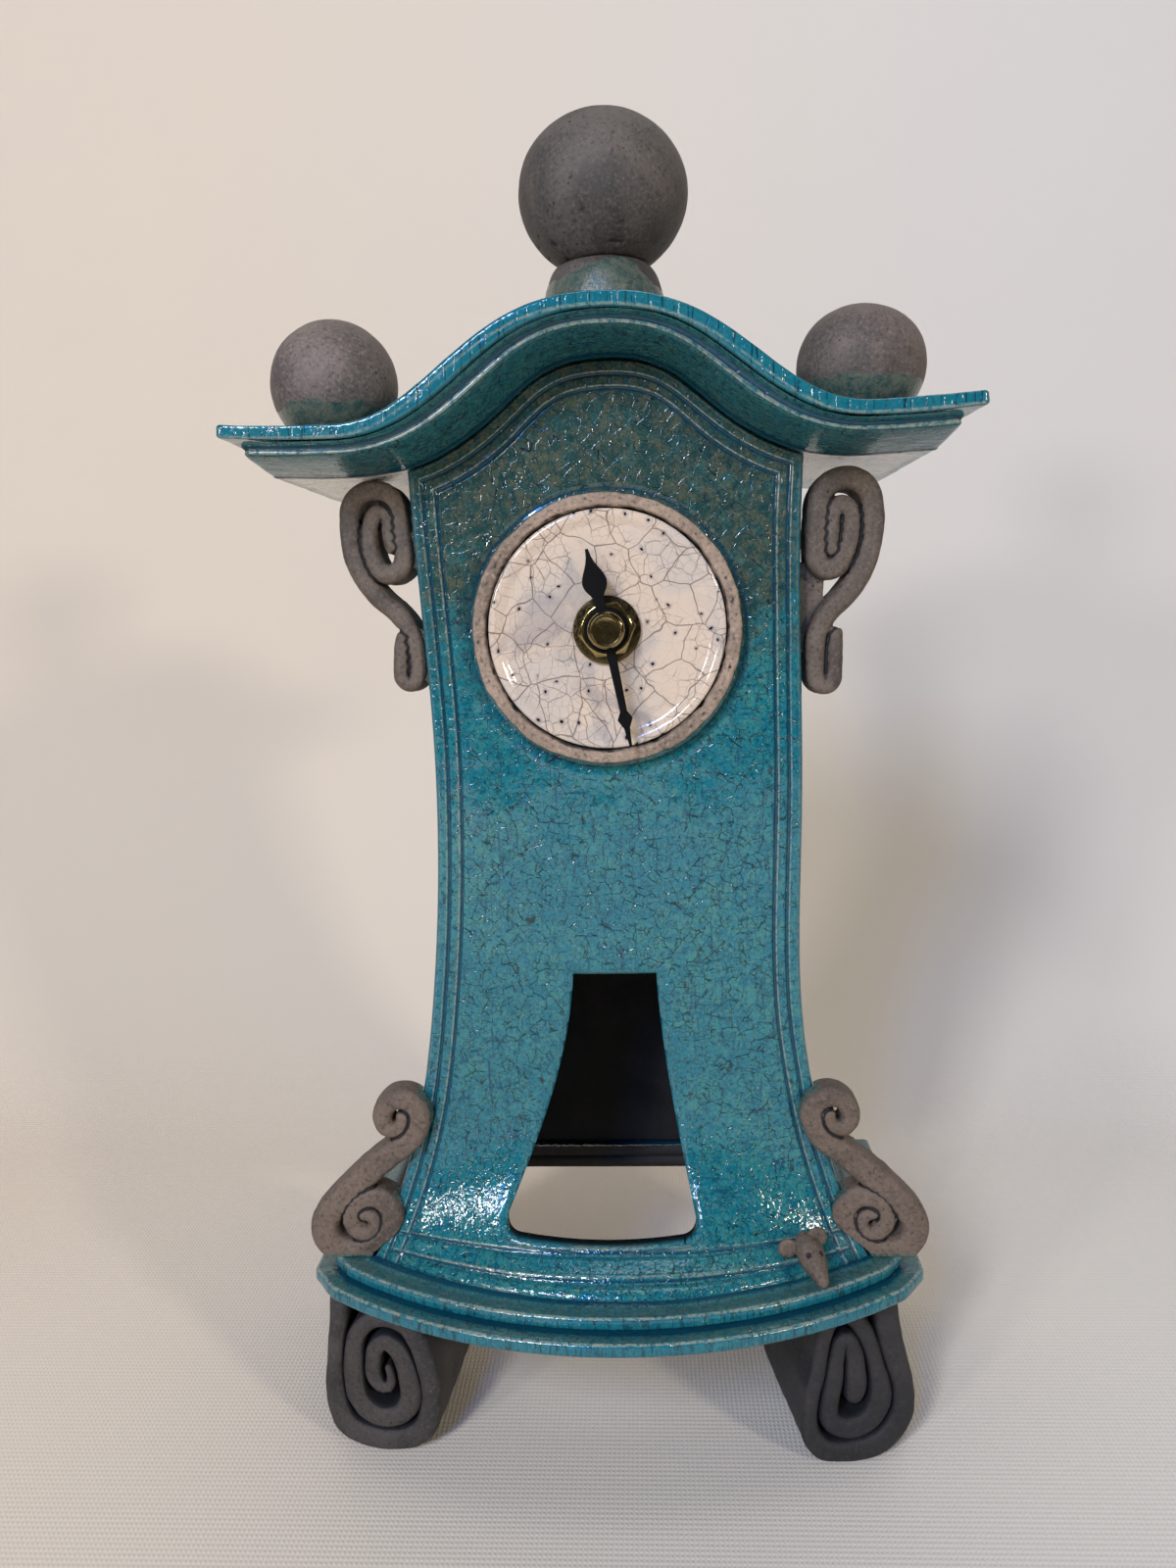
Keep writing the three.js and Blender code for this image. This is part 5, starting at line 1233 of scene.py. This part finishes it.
# Materials
class Paint:
    """A procedural material: its nodes are made and linked in one call each. Sizes are in mm."""

    def __init__(self, name):
        self.material = bpy.data.materials.new(name)
        self.material.use_nodes = True
        self.tree = self.material.node_tree
        self.shader = self.tree.nodes["Principled BSDF"]
        place = self.node("TexCoord").outputs["Object"]
        self.place = self.vector("MULTIPLY", place, (1000, 1000, 1000))

    def node(self, kind, inputs=(), **settings):
        """A node with its settings, and values or links for inputs given by name or number."""
        node = self.tree.nodes.new("ShaderNode" + kind)
        for key, value in settings.items():
            setattr(node, key, value)
        for key, value in dict(inputs).items():
            self.put(node.inputs[key], value)
        return node

    def put(self, socket, value):
        if isinstance(value, bpy.types.NodeSocket):
            self.tree.links.new(value, socket)
        elif isinstance(value, (tuple, list)) and socket.type == "RGBA" and len(value) == 3:
            socket.default_value = (*value, 1)
        else:
            socket.default_value = value

    def vector(self, operation, a, b):
        return self.node("VectorMath", {0: a, 1: b}, operation=operation).outputs[0]

    def math(self, operation, a, b=0.0):
        return self.node("Math", {0: a, 1: b}, operation=operation).outputs[0]

    def times(self, a, b):
        return self.math("MULTIPLY", a, b)

    def stretched(self, factors):
        return self.vector("MULTIPLY", self.place, factors)

    def noise(self, size, detail=3.0, roughness=0.55, distortion=0.0, vector=None):
        """Noise from 0 to 1 with lumps about size mm wide."""
        return self.node("TexNoise", {
            "Vector": vector or self.place, "Scale": 1 / size, "Detail": detail,
            "Roughness": roughness, "Distortion": distortion,
        }).outputs[0]

    def wandered(self, size, amount, vector=None):
        """Coordinates that wander by up to about amount mm."""
        vector = vector or self.place
        noise = self.node("TexNoise", {"Vector": vector, "Scale": 1 / size, "Detail": 2})
        centred = self.vector("SUBTRACT", noise.outputs[1], (0.5, 0.5, 0.5))
        return self.vector("ADD", vector, self.vector("MULTIPLY", centred, (amount, amount, amount)))

    def cells(self, size, vector=None, feature="DISTANCE_TO_EDGE", dimensions="3D"):
        """Distance in mm to the border (or the middle) of cells about size mm wide."""
        node = self.node("TexVoronoi", voronoi_dimensions=dimensions, feature=feature)
        self.put(node.inputs["Vector"], vector or self.place)
        self.put(node.inputs["Scale"], 1 / size)
        return self.times(node.outputs["Distance"], size)

    def ramp(self, value, low, high, start=0.0, end=1.0):
        return self.node("MapRange", {
            "Value": value, "From Min": low, "From Max": high, "To Min": start, "To Max": end,
        }, interpolation_type="SMOOTHSTEP").outputs[0]

    def patches(self, noise, low, high, start=0.0, end=1.0):
        """Noise with the given size, detail and so on, turned into patches."""
        return self.ramp(self.noise(*noise), low, high, start, end)

    def mix(self, factor, a, b):
        return self.node("Mix", {0: factor, 6: a, 7: b}, data_type="RGBA").outputs[2]

    def layers(self, colour, *layers):
        """A colour with others laid over it in turn, each (share, colour) or (share, colour, strength)."""
        for share, shade, *strength in layers:
            colour = self.mix(self.times(share, *strength) if strength else share, colour, shade)
        return colour

    def blend(self, factor, a, b):
        return self.node("Mix", {0: factor, 2: a, 3: b}, data_type="FLOAT").outputs[0]

    def mask(self, name):
        return self.node("Attribute", attribute_name=name).outputs["Fac"]

    def axis(self, index):
        return self.node("SeparateXYZ", {0: self.place}).outputs[index]

    def bump(self, height, depth):
        """Small relief; depth is in mm for a height from 0 to 1."""
        node = self.node("Bump", {"Strength": 1.0, "Distance": depth * MM, "Height": height})
        normal = self.shader.inputs["Normal"]
        if normal.is_linked:
            self.put(node.inputs["Normal"], normal.links[0].from_socket)
        self.put(normal, node.outputs[0])

    def finish(self, **values):
        for key, value in values.items():
            self.put(self.shader.inputs[key.replace("_", " ")], value)
        return self.material


def crack_lines(paint, size, width, wander, vector=None):
    """Thin lines between cells, 1 on the line."""
    warped = paint.wandered(size * 1.3, size * wander, vector)
    return paint.ramp(paint.cells(size, warped), 0.0, width, 1.0, 0.0)


def scaled(colour, factor):
    return tuple(c * factor for c in colour)


def glaze_colour(paint, tone, olive_and_shade, crack_stretch):
    """The colour of the turquoise glaze, and its cracks."""
    grey, blue, deep = (
        scaled(c, tone) for c in ((0.036, 0.215, 0.212), (0.003, 0.152, 0.208), (0.003, 0.07, 0.125))
    )
    layers = [
        (paint.patches((2.3, 7, 0.74, 0.25), 0.40, 0.58), grey),
        (paint.patches((30, 4, 0.55, 0.4), 0.44, 0.66, 0, 0.55), blue),
    ]
    for stretch, low in (((1, 1, 0.09), 0.565), ((0.09, 1, 1), 0.59)):
        streak = paint.patches((1.1, 3, 0.6, 0, paint.stretched(stretch)), low, low + 0.07, 0, 0.85)
        layers.append((streak, deep, paint.patches((9, 3), 0.45, 0.6, 0.15, 1)))
    # Olive-brown smoke that grows towards the top of the panel: partly the glaze's own colour, partly painted shade
    # under the roof.
    if olive_and_shade is not None:
        smoke = paint.layers(
            (0.02, 0.052, 0.045),
            (paint.patches((2.1, 5, 0.7), 0.42, 0.6), (0.082, 0.088, 0.052)),
            (paint.patches((5, 5, 0.7, 0.4), 0.5, 0.62, 0, 0.6), (0.022, 0.10, 0.10)),
            (paint.patches((0.9, 4, 0.7), 0.6, 0.68, 0, 0.8), (0.17, 0.155, 0.10)),
        )
        patch = paint.math("ADD", paint.noise(7, 6, 0.68, 0.3), olive_and_shade)
        layers.append((paint.ramp(patch, 0.48, 0.78, 0, 0.95), smoke))
    speck = paint.noise(0.75, 4, 0.7, 0.3)
    wide = crack_lines(paint, 2.9, 0.17, 0.5, paint.stretched(crack_stretch))
    wide = paint.times(wide, paint.patches((1.6, 3, 0.6), 0.42, 0.58))
    fine = paint.times(crack_lines(paint, 1.2, 0.1, 0.45), paint.patches((2.4, 3), 0.4, 0.6))
    hair = paint.times(crack_lines(paint, 17, 0.2, 0.35), paint.patches((7, 2), 0.6, 0.64))
    layers += [
        (paint.ramp(speck, 0.57, 0.67, 0, 0.55), (0.15, 0.21, 0.16)),
        (paint.ramp(speck, 0.46, 0.35, 0, 0.9), (0.004, 0.045, 0.056)),
        (wide, (0.003, 0.014, 0.018), 0.95),
        (fine, (0.005, 0.033, 0.04), 0.85),
        (hair, (0.006, 0.008, 0.008)),
    ]
    return paint.layers(blue, *layers), wide


def glaze(name, tone=1.0, crack_stretch=(1, 1, 1), olive_and_shade_from=None, rim=0.8, dull=0.0):
    """Turquoise raku glaze: lighter where it is thin (rim), dark where it gathers (pool); its masks also carry painted
    shade and a painted reflection.
    """
    paint = Paint(name)
    olive_and_shade, peel = None, 0.6
    if olive_and_shade_from:
        # Rises with height towards the roof: partly the olive glaze, partly painted shade under the roof.
        olive_and_shade = paint.ramp(paint.axis(2), olive_and_shade_from, olive_and_shade_from + 85, -0.12, 0.42)
        peel = paint.ramp(paint.axis(2), 80, 120, 1.0, 0.15)
    colour, cracks = glaze_colour(paint, tone, olive_and_shade, crack_stretch)
    split = paint.wandered(3.5, 1.2, paint.stretched((1, 0.3, 0.05)))
    split = paint.times(paint.ramp(paint.cells(2.9, split), 0, 0.18, 1, 0), paint.patches((2.6, 2), 0.38, 0.52))
    ridge = paint.times(paint.ramp(paint.mask("rim"), 0.25, 0.8), paint.patches((1.1, 4, 0.7), 0.40, 0.56, 0.1, 1.0))
    # Pale grey with dark flecks for the roof's undersides: painted reflection of the backdrop.
    pale = paint.mix(paint.patches((1.9, 4, 0.7), 0.36, 0.46), (0.11, 0.11, 0.095), (0.56, 0.54, 0.46))
    # A lighter grey-green for the tops of the base's ledges.
    dusty = paint.mix(paint.patches((1.4, 4, 0.7), 0.42, 0.6), (0.05, 0.13, 0.125), (0.12, 0.165, 0.135))
    colour = paint.layers(
        colour,
        (paint.mask("edge"), (0.006, 0.155, 0.215), 0.6),
        (paint.times(split, paint.mask("split")), (0.003, 0.02, 0.028), 0.9),
        (ridge, (0.27, 0.31, 0.25), rim),
        (paint.ramp(paint.mask("pool"), 0.15, 0.8), (0.004, 0.05, 0.088), 0.92),
        (paint.mask("pale"), pale),
        (paint.mask("dusty"), dusty),
        (paint.mask("bare"), (0.016, 0.014, 0.013)),
    )
    paint.bump(paint.times(paint.noise(1.25, 2, 0.5, 0.3), peel), 0.18)
    paint.bump(paint.times(paint.noise(4.0, 2, 0.5), peel), 0.22)
    paint.bump(cracks, -0.05)
    wet = paint.patches((1.5, 4, 0.7), 0.35, 0.75, 0.05 + dull, 0.13 + 1.5 * dull)
    return paint.finish(Base_Color=colour, Roughness=paint.blend(paint.mask("bare"), wet, 0.75), IOR=1.58)


def smoked_clay(name, light, dark, balance=0.5, sheen=0.72, glazed=True):
    """Bare clay with smoke, grain and grit; glazed adds thin glaze where the mask has it."""
    paint = Paint(name)
    grain = paint.noise(0.9, 4, 0.7)
    spots = paint.ramp(paint.cells(3.6, paint.wandered(3, 2), "F1"), 0.3, 0.42, 1, 0)
    colour = paint.layers(
        light,
        (paint.patches((24, 4, 0.55, 0.6), balance - 0.16, balance + 0.16), dark),
        (paint.ramp(grain, 0.5, 0.7, 0, 0.5), scaled(light, 1.7)),
        (paint.ramp(grain, 0.48, 0.33, 0, 0.7), scaled(dark, 0.35)),
        (spots, (0.012, 0.011, 0.012), paint.patches((8, 2), 0.5, 0.6)),
        (paint.patches((0.42, 2, 0.5), 0.70, 0.76, 0, 0.8), tuple(min(1, c) for c in scaled(light, 2.6))),
        # Hollows, creases and joins of the clay are darkened here: painted shade.
        (paint.ramp(paint.mask("pool"), 0.05, 0.6), (0.006, 0.0065, 0.010), 0.94),
        (paint.mask("rim"), scaled(light, 1.3), 0.3),
    )
    paint.bump(paint.noise(0.8, 5, 0.7), 0.15)
    paint.bump(paint.noise(3.0, 3, 0.6), 0.22)
    roughness = paint.ramp(grain, 0.3, 0.7, sheen - 0.1, sheen + 0.12)
    if glazed:
        ragged = paint.times(paint.math("SUBTRACT", paint.noise(1.5, 4), 0.5), 0.5)
        wet = paint.ramp(paint.math("ADD", paint.mask("glaze"), ragged), 0.35, 0.6)
        thin = paint.layers(
            (0.045, 0.09, 0.08),
            (paint.patches((2.2, 5, 0.65), 0.36, 0.58), (0.12, 0.14, 0.105)),
            (crack_lines(paint, 2.2, 0.1, 0.4), (0.012, 0.03, 0.03), 0.6),
        )
        colour = paint.mix(wet, colour, thin)
        roughness = paint.blend(wet, roughness, 0.16)
    return paint.finish(Base_Color=colour, Roughness=roughness, IOR=1.5)


def dial_white():
    """White glaze with a net of smoked cracks in three sizes, and small pinholes."""
    paint = Paint("crackle_white_glaze")
    flat = paint.node("CombineXYZ", {0: paint.axis(0), 1: paint.axis(2)}).outputs[0]
    layers = [
        (paint.patches((14, 3, 0.5, 0.5), 0.4, 0.62), (0.60, 0.52, 0.44)),
        (paint.patches((15, 3, 0.55, 0.8), 0.55, 0.72, 0, 0.55), (0.25, 0.235, 0.26)),
    ]
    present = paint.patches((11, 3), 0.42, 0.58, 0.15, 0.9)
    for size, width, strength in ((9.5, 0.24, 0.9), (4.2, 0.19, 0.8), (2.2, 0.12, 0.5)):
        cells = paint.cells(size, paint.wandered(size, size * 0.55, flat), dimensions="2D")
        share = strength if size > 9 else paint.times(present, strength)
        layers.append((paint.ramp(cells, 0, width, 1, 0), (0.15, 0.10, 0.085), share))
    holes = paint.cells(6.6, paint.wandered(5, 3, flat), "F1", "2D")
    some = paint.patches((9, 2), 0.42, 0.5)
    dots = paint.times(paint.ramp(holes, 0.26, 0.4, 1, 0), some)
    layers.append((paint.ramp(holes, 0.3, 1.1, 0.5, 0), (0.16, 0.15, 0.17), some))
    layers.append((dots, (0.006, 0.006, 0.007)))
    paint.bump(dots, -0.15)
    paint.bump(paint.noise(2.6, 2, 0.5), 0.08)
    return paint.finish(Base_Color=paint.layers((0.69, 0.56, 0.435), *layers), Roughness=0.13, IOR=1.5)


def metal(name, colour, dark, roughness=0.22, brushed=(1, 1, 1)):
    paint = Paint(name)
    tone = paint.mix(paint.patches((2.5, 4, 0.6), 0.35, 0.7), colour, dark)
    paint.bump(paint.noise(0.25, 3, 0.6, 0, paint.stretched(brushed)), 0.012)
    rough = paint.patches((1.4, 4, 0.7), 0.3, 0.75, roughness * 0.7, roughness * 1.5)
    return paint.finish(Base_Color=tone, Roughness=rough, Metallic=1.0)


def plain(name, colour, worn, roughness, size=2.0, relief=0.02, metallic=0.0, shine=0.5):
    paint = Paint(name)
    tone = paint.mix(paint.patches((size * 3, 4, 0.6), 0.4, 0.7), colour, worn)
    paint.bump(paint.noise(size * 0.25, 3, 0.6), relief)
    rough = paint.patches((size, 3, 0.6), 0.3, 0.7, max(0.05, roughness - 0.07), roughness + 0.07)
    return paint.finish(Base_Color=tone, Roughness=rough, Metallic=metallic, Specular_IOR_Level=shine)


# The pieces
panel_glaze = glaze("turquoise_glaze_panel", olive_and_shade_from=168)
wall_glaze = glaze("turquoise_glaze_wall")
roof_glaze = glaze("turquoise_glaze_roof", 0.78, (1, 0.5, 0.1), rim=0.6, dull=0.03)
# The cornice's copy of the glaze is darker (tone 0.75): partly its own darker glaze, partly painted shade in the cove
# under the lip.
cove_glaze = glaze("turquoise_glaze_cove", 0.75, (0.4, 1, 1), rim=0.85, dull=0.06)
base_glaze = glaze("turquoise_glaze_base", 0.95, (1, 0.5, 0.1), rim=0.9, dull=0.04)
ball_clay = smoked_clay("smoked_clay_ball", (0.205, 0.16, 0.135), (0.095, 0.079, 0.07), 0.52, 0.62)
right_ball_clay = smoked_clay("smoked_clay_right_ball", (0.16, 0.125, 0.105), (0.072, 0.06, 0.053), 0.5, 0.66)
top_clay = smoked_clay("smoked_clay_top_ball", (0.112, 0.094, 0.08), (0.046, 0.041, 0.036), 0.5, 0.64)
scroll_clay = smoked_clay("smoked_clay_scroll", (0.155, 0.113, 0.085), (0.064, 0.049, 0.038), 0.56)
upper_clay = smoked_clay("smoked_clay_upper", (0.14, 0.106, 0.08), (0.055, 0.044, 0.036), 0.5, 0.66)
foot_clay = smoked_clay("smoked_clay_foot", (0.062, 0.052, 0.047), (0.024, 0.022, 0.021), 0.47, 0.72, glazed=False)
dark_foot_clay = smoked_clay(
    "smoked_clay_dark_foot", (0.031, 0.028, 0.028), (0.013, 0.013, 0.015), 0.5, 0.68, glazed=False)
ring_clay = smoked_clay("smoked_clay_ring", (0.36, 0.265, 0.195), (0.165, 0.122, 0.09), 0.52, 0.75)
back_clay = smoked_clay("smoked_clay_back", (0.02, 0.018, 0.017), (0.005, 0.005, 0.005), 0.46, 0.8, glazed=False)
crackle = dial_white()
polished = metal("brass_polished", (0.40, 0.31, 0.13), (0.24, 0.18, 0.075), 0.11)
tarnished = metal("brass_washer", (0.13, 0.098, 0.045), (0.075, 0.056, 0.028), 0.26)

# Finish and slot, then node, material, and the function that makes the mesh with its details
GLAZED, CLAY, BRASS = ("glazed", "turquoise_glaze"), ("clay", "smoked_clay"), ("turned", "brass")
WHITE = ("glazed", "crackle_white")
for (finish, slot), node, material, make, *details in (
    (GLAZED, "front_panel", panel_glaze, front_panel),
    (GLAZED, "left_side_wall", wall_glaze, side_wall, -1),
    (GLAZED, "right_side_wall", wall_glaze, side_wall, 1),
    (CLAY, "back_panel", back_clay, back_panel),
    (GLAZED, "roof_slab", roof_glaze, roof_slab),
    (GLAZED, "roof_cornice", cove_glaze, roof_cornice),
    (GLAZED, "base_plate", base_glaze, base_frame, 0.0, 45.0, 48.2, 51),
    (GLAZED, "base_step", base_glaze, base_frame, 5.0, 48.5, 51.5, 61),
    (CLAY, "front_left_foot", foot_clay, foot, LEFT_FOOT, (-61.4, -9), -5, False, (1, 1, 1), 201),
    (CLAY, "front_right_foot", dark_foot_clay, foot, RIGHT_FOOT, (58.9, -12), 9, True, (1, 1, 1), 211),
    (CLAY, "rear_left_foot", foot_clay, foot, LEFT_FOOT, (-65, 41), 0, False, (0.8, 0.6, 1), 221),
    (CLAY, "rear_right_foot", dark_foot_clay, foot, RIGHT_FOOT, (63, 41), 0, True, (0.8, 0.6, 1), 231),
    (CLAY, "left_upper_scroll", upper_clay, scroll, "left_upper_scroll", 301),
    (CLAY, "right_upper_scroll", upper_clay, scroll, "right_upper_scroll", 311),
    (CLAY, "left_lower_scroll", scroll_clay, scroll, "left_lower_scroll", 321),
    (CLAY, "right_lower_scroll", scroll_clay, scroll, "right_lower_scroll", 331),
    (CLAY, "left_ball", ball_clay, side_ball, -66.0, 1, 401),
    (CLAY, "right_ball", right_ball_clay, side_ball, 61.9, 0.925, 411),
    (CLAY, "top_ball", top_clay, top_ball),
    (CLAY, "top_ball_collar", top_clay, collar),
    (CLAY, "mouse_head", scroll_clay, mouse_head),
    (CLAY, "dial_ring", ring_clay, dial_ring),
    (WHITE, "dial_disc", crackle, dial_disc),
    (BRASS, "brass_washer", tarnished, brass_washer),
    (BRASS, "hex_nut", polished, hex_nut),
    (BRASS, "threaded_bushing", tarnished, bushing),
    (BRASS, "cap_nut", polished, cap_nut),
):
    publish(node, finish, make(*details), material, "minute_group" if node == "cap_nut" else "clock_case")

# Nodes whose solids are shown as they are, with a small bevel in mm where their edges catch light
steel = metal("steel", (0.55, 0.55, 0.55), (0.38, 0.38, 0.38), 0.3)
lacquer = plain("black_lacquer", (0.0015, 0.0015, 0.0015), (0.003, 0.003, 0.003), 0.5, 3, 0.01, shine=0.12)
black_plastic = plain("black_plastic", (0.012, 0.012, 0.013), (0.02, 0.02, 0.021), 0.45, 1.5, 0.03)
wheel_plastic = plain("wheel_plastic", (0.72, 0.7, 0.64), (0.62, 0.6, 0.54), 0.4, 2, 0.02)
rubber = plain("rubber", (0.014, 0.014, 0.014), (0.03, 0.03, 0.03), 0.85, 1, 0.03)
copper = metal("copper_wire", (0.66, 0.27, 0.13), (0.5, 0.19, 0.09), 0.3, (6, 1, 1))
board = plain("circuit_board", (0.03, 0.14, 0.05), (0.02, 0.10, 0.04), 0.45, 2, 0.01)
jacket = plain("battery_jacket", (0.03, 0.035, 0.045), (0.05, 0.055, 0.06), 0.3, 4, 0.005, 0.6)
for material, bevels in (
    (lacquer, {"hour_hand": 0.12, "minute_hand": 0.12}),
    (black_plastic, {"movement_case": 0.5, "movement_cover": 0.3}),
    (wheel_plastic, {
        "setting_knob": 0.3, "hour_wheel": 0.06, "motion_wheel": 0.05,
        "centre_wheel": 0, "third_wheel": 0, "seconds_wheel": 0, "intermediate_wheel": 0,
    }),
    (steel, {
        "minute_arbor": 0.06, "rotor": 0.05, "stator": 0.05,
        "battery_plus_contact": 0.05, "battery_minus_contact": 0.05,
    }),
    (copper, {"coil": 0.1}), (board, {"circuit_board": 0.1}), (jacket, {"battery": 0.4}),
    (rubber, {"rubber_washer": 0.15}),
):
    for node, bevel in bevels.items():
        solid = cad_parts[node]
        wear(solid.data, material)
        if bevel:
            edge = solid.modifiers.new("edge", "BEVEL")
            edge.width = bevel * MM
            edge.segments = 2
            edge.limit_method = "ANGLE"
            edge.angle_limit = math.radians(35)


# Floor, backdrop, light and camera, in metres
def backdrop():
    """A sheet that lies on the table and curves up behind the clock."""
    bend, bend_start, across = 0.2, 0.14, 14
    profile = [(-1.2, 0.0)]
    profile += [(y, 0.0) for y in np.linspace(-0.9, bend_start, 12)]
    for a in np.linspace(0, math.pi / 2, 24)[1:]:
        profile.append((bend_start + bend * math.sin(a), bend * (1 - math.cos(a))))
    profile += [(bend_start + bend + 0.03 * t, bend + 1.2 * t) for t in (0.3, 0.6, 1.0)]
    points = [(x, y, z) for y, z in profile for x in np.linspace(-1.3, 1.3, across)]
    faces = []
    for r in range(len(profile) - 1):
        for a in range(r * across, r * across + across - 1):
            faces.append((a, a + 1, a + across + 1, a + across))
    mesh = bpy.data.meshes.new("backdrop")
    mesh.from_pydata(points, [], faces)
    mesh.shade_smooth()
    piece = new_object("backdrop", mesh)
    paint = Paint("backdrop_cloth")
    # Warmer on the left and cooler on the right: painted light, the cast of the lighting on the cloth.
    tone = paint.layers(
        (0.80, 0.70, 0.57), (paint.ramp(paint.axis(0), -260, 260), (0.76, 0.73, 0.68)),
        (paint.patches((60, 3), 0.35, 0.65, 0, 0.05), (0.7, 0.66, 0.6)),
    )
    weft = paint.node("TexWave", {"Vector": paint.place, "Scale": 0.27, "Distortion": 0.6, "Detail": 1})
    warp = paint.node("TexWave", {"Vector": paint.place, "Scale": 0.2}, bands_direction="Y")
    threads = paint.times(weft.outputs["Fac"], warp.outputs["Fac"])
    paint.bump(paint.times(threads, paint.ramp(paint.axis(2), 1, 30, 1, 0)), 0.12)
    mesh.materials.append(paint.finish(Base_Color=tone, Roughness=0.9))


def lamp(name, place, target, size, power, colour):
    light = bpy.data.lights.new(name, "AREA")
    light.shape = "RECTANGLE"
    light.size, light.size_y = size
    light.energy = power
    light.color = colour
    holder = new_object(name, light)
    holder.location = place
    holder.rotation_euler = (Vector(target) - Vector(place)).to_track_quat("-Z", "Y").to_euler()


def set_camera():
    """The photograph's view, solved from the lines of floor, base and roof; angles in radians."""
    yaw, pitch, roll = -0.045091, 0.143592, -0.023586
    forward = Vector((math.sin(yaw) * math.cos(pitch), math.cos(yaw) * math.cos(pitch), -math.sin(pitch)))
    right = Vector((math.cos(yaw), -math.sin(yaw), 0))
    up = right.cross(forward)
    side = right * math.cos(roll) + up * math.sin(roll)
    top = up * math.cos(roll) - right * math.sin(roll)
    camera = bpy.data.cameras.new("photo_camera")
    camera.lens = 1202 / 1600 * 36
    camera.clip_start = 0.01
    holder = new_object("photo_camera", camera)
    turn = Matrix((side, top, -forward)).transposed()
    holder.matrix_world = Matrix.Translation((0.008008, -0.30275, 0.213063)) @ turn.to_4x4()
    bpy.context.scene.camera = holder


backdrop()
set_camera()
# place, what it points at, size of the lamp, watts and colour
lamp("left_lamp", (-0.47, -1.12, 0.84), (0, 0, 0.08), (0.15, 0.40), 9.0, (0.95, 0.97, 1.0))
lamp("left_blue_lamp", (-0.305, -1.17, 0.84), (0, 0, 0.08), (0.11, 0.40), 4.0, (0.05, 0.28, 1.0))
lamp("far_left_lamp", (-0.80, -1.15, 0.475), (0, 0, 0.15), (0.15, 0.12), 4.2, (0.98, 0.94, 0.88))
lamp("right_lamp", (0.94, -1.02, 0.59), (0, 0, 0.15), (0.14, 0.12), 6.0, (1.0, 0.89, 0.75))
lamp("ceiling_lamp", (0.1, -0.1, 1.6), (0, 0, 0.1), (0.7, 0.7), 3.6, (1.0, 0.97, 0.92))
world = bpy.data.worlds.new("room")
world.use_nodes = True
background = world.node_tree.nodes["Background"]
background.inputs["Color"].default_value = (0.93, 0.94, 1.0, 1)
background.inputs["Strength"].default_value = 0.07
bpy.context.scene.world = world
bpy.context.scene.view_settings.view_transform = "Standard"
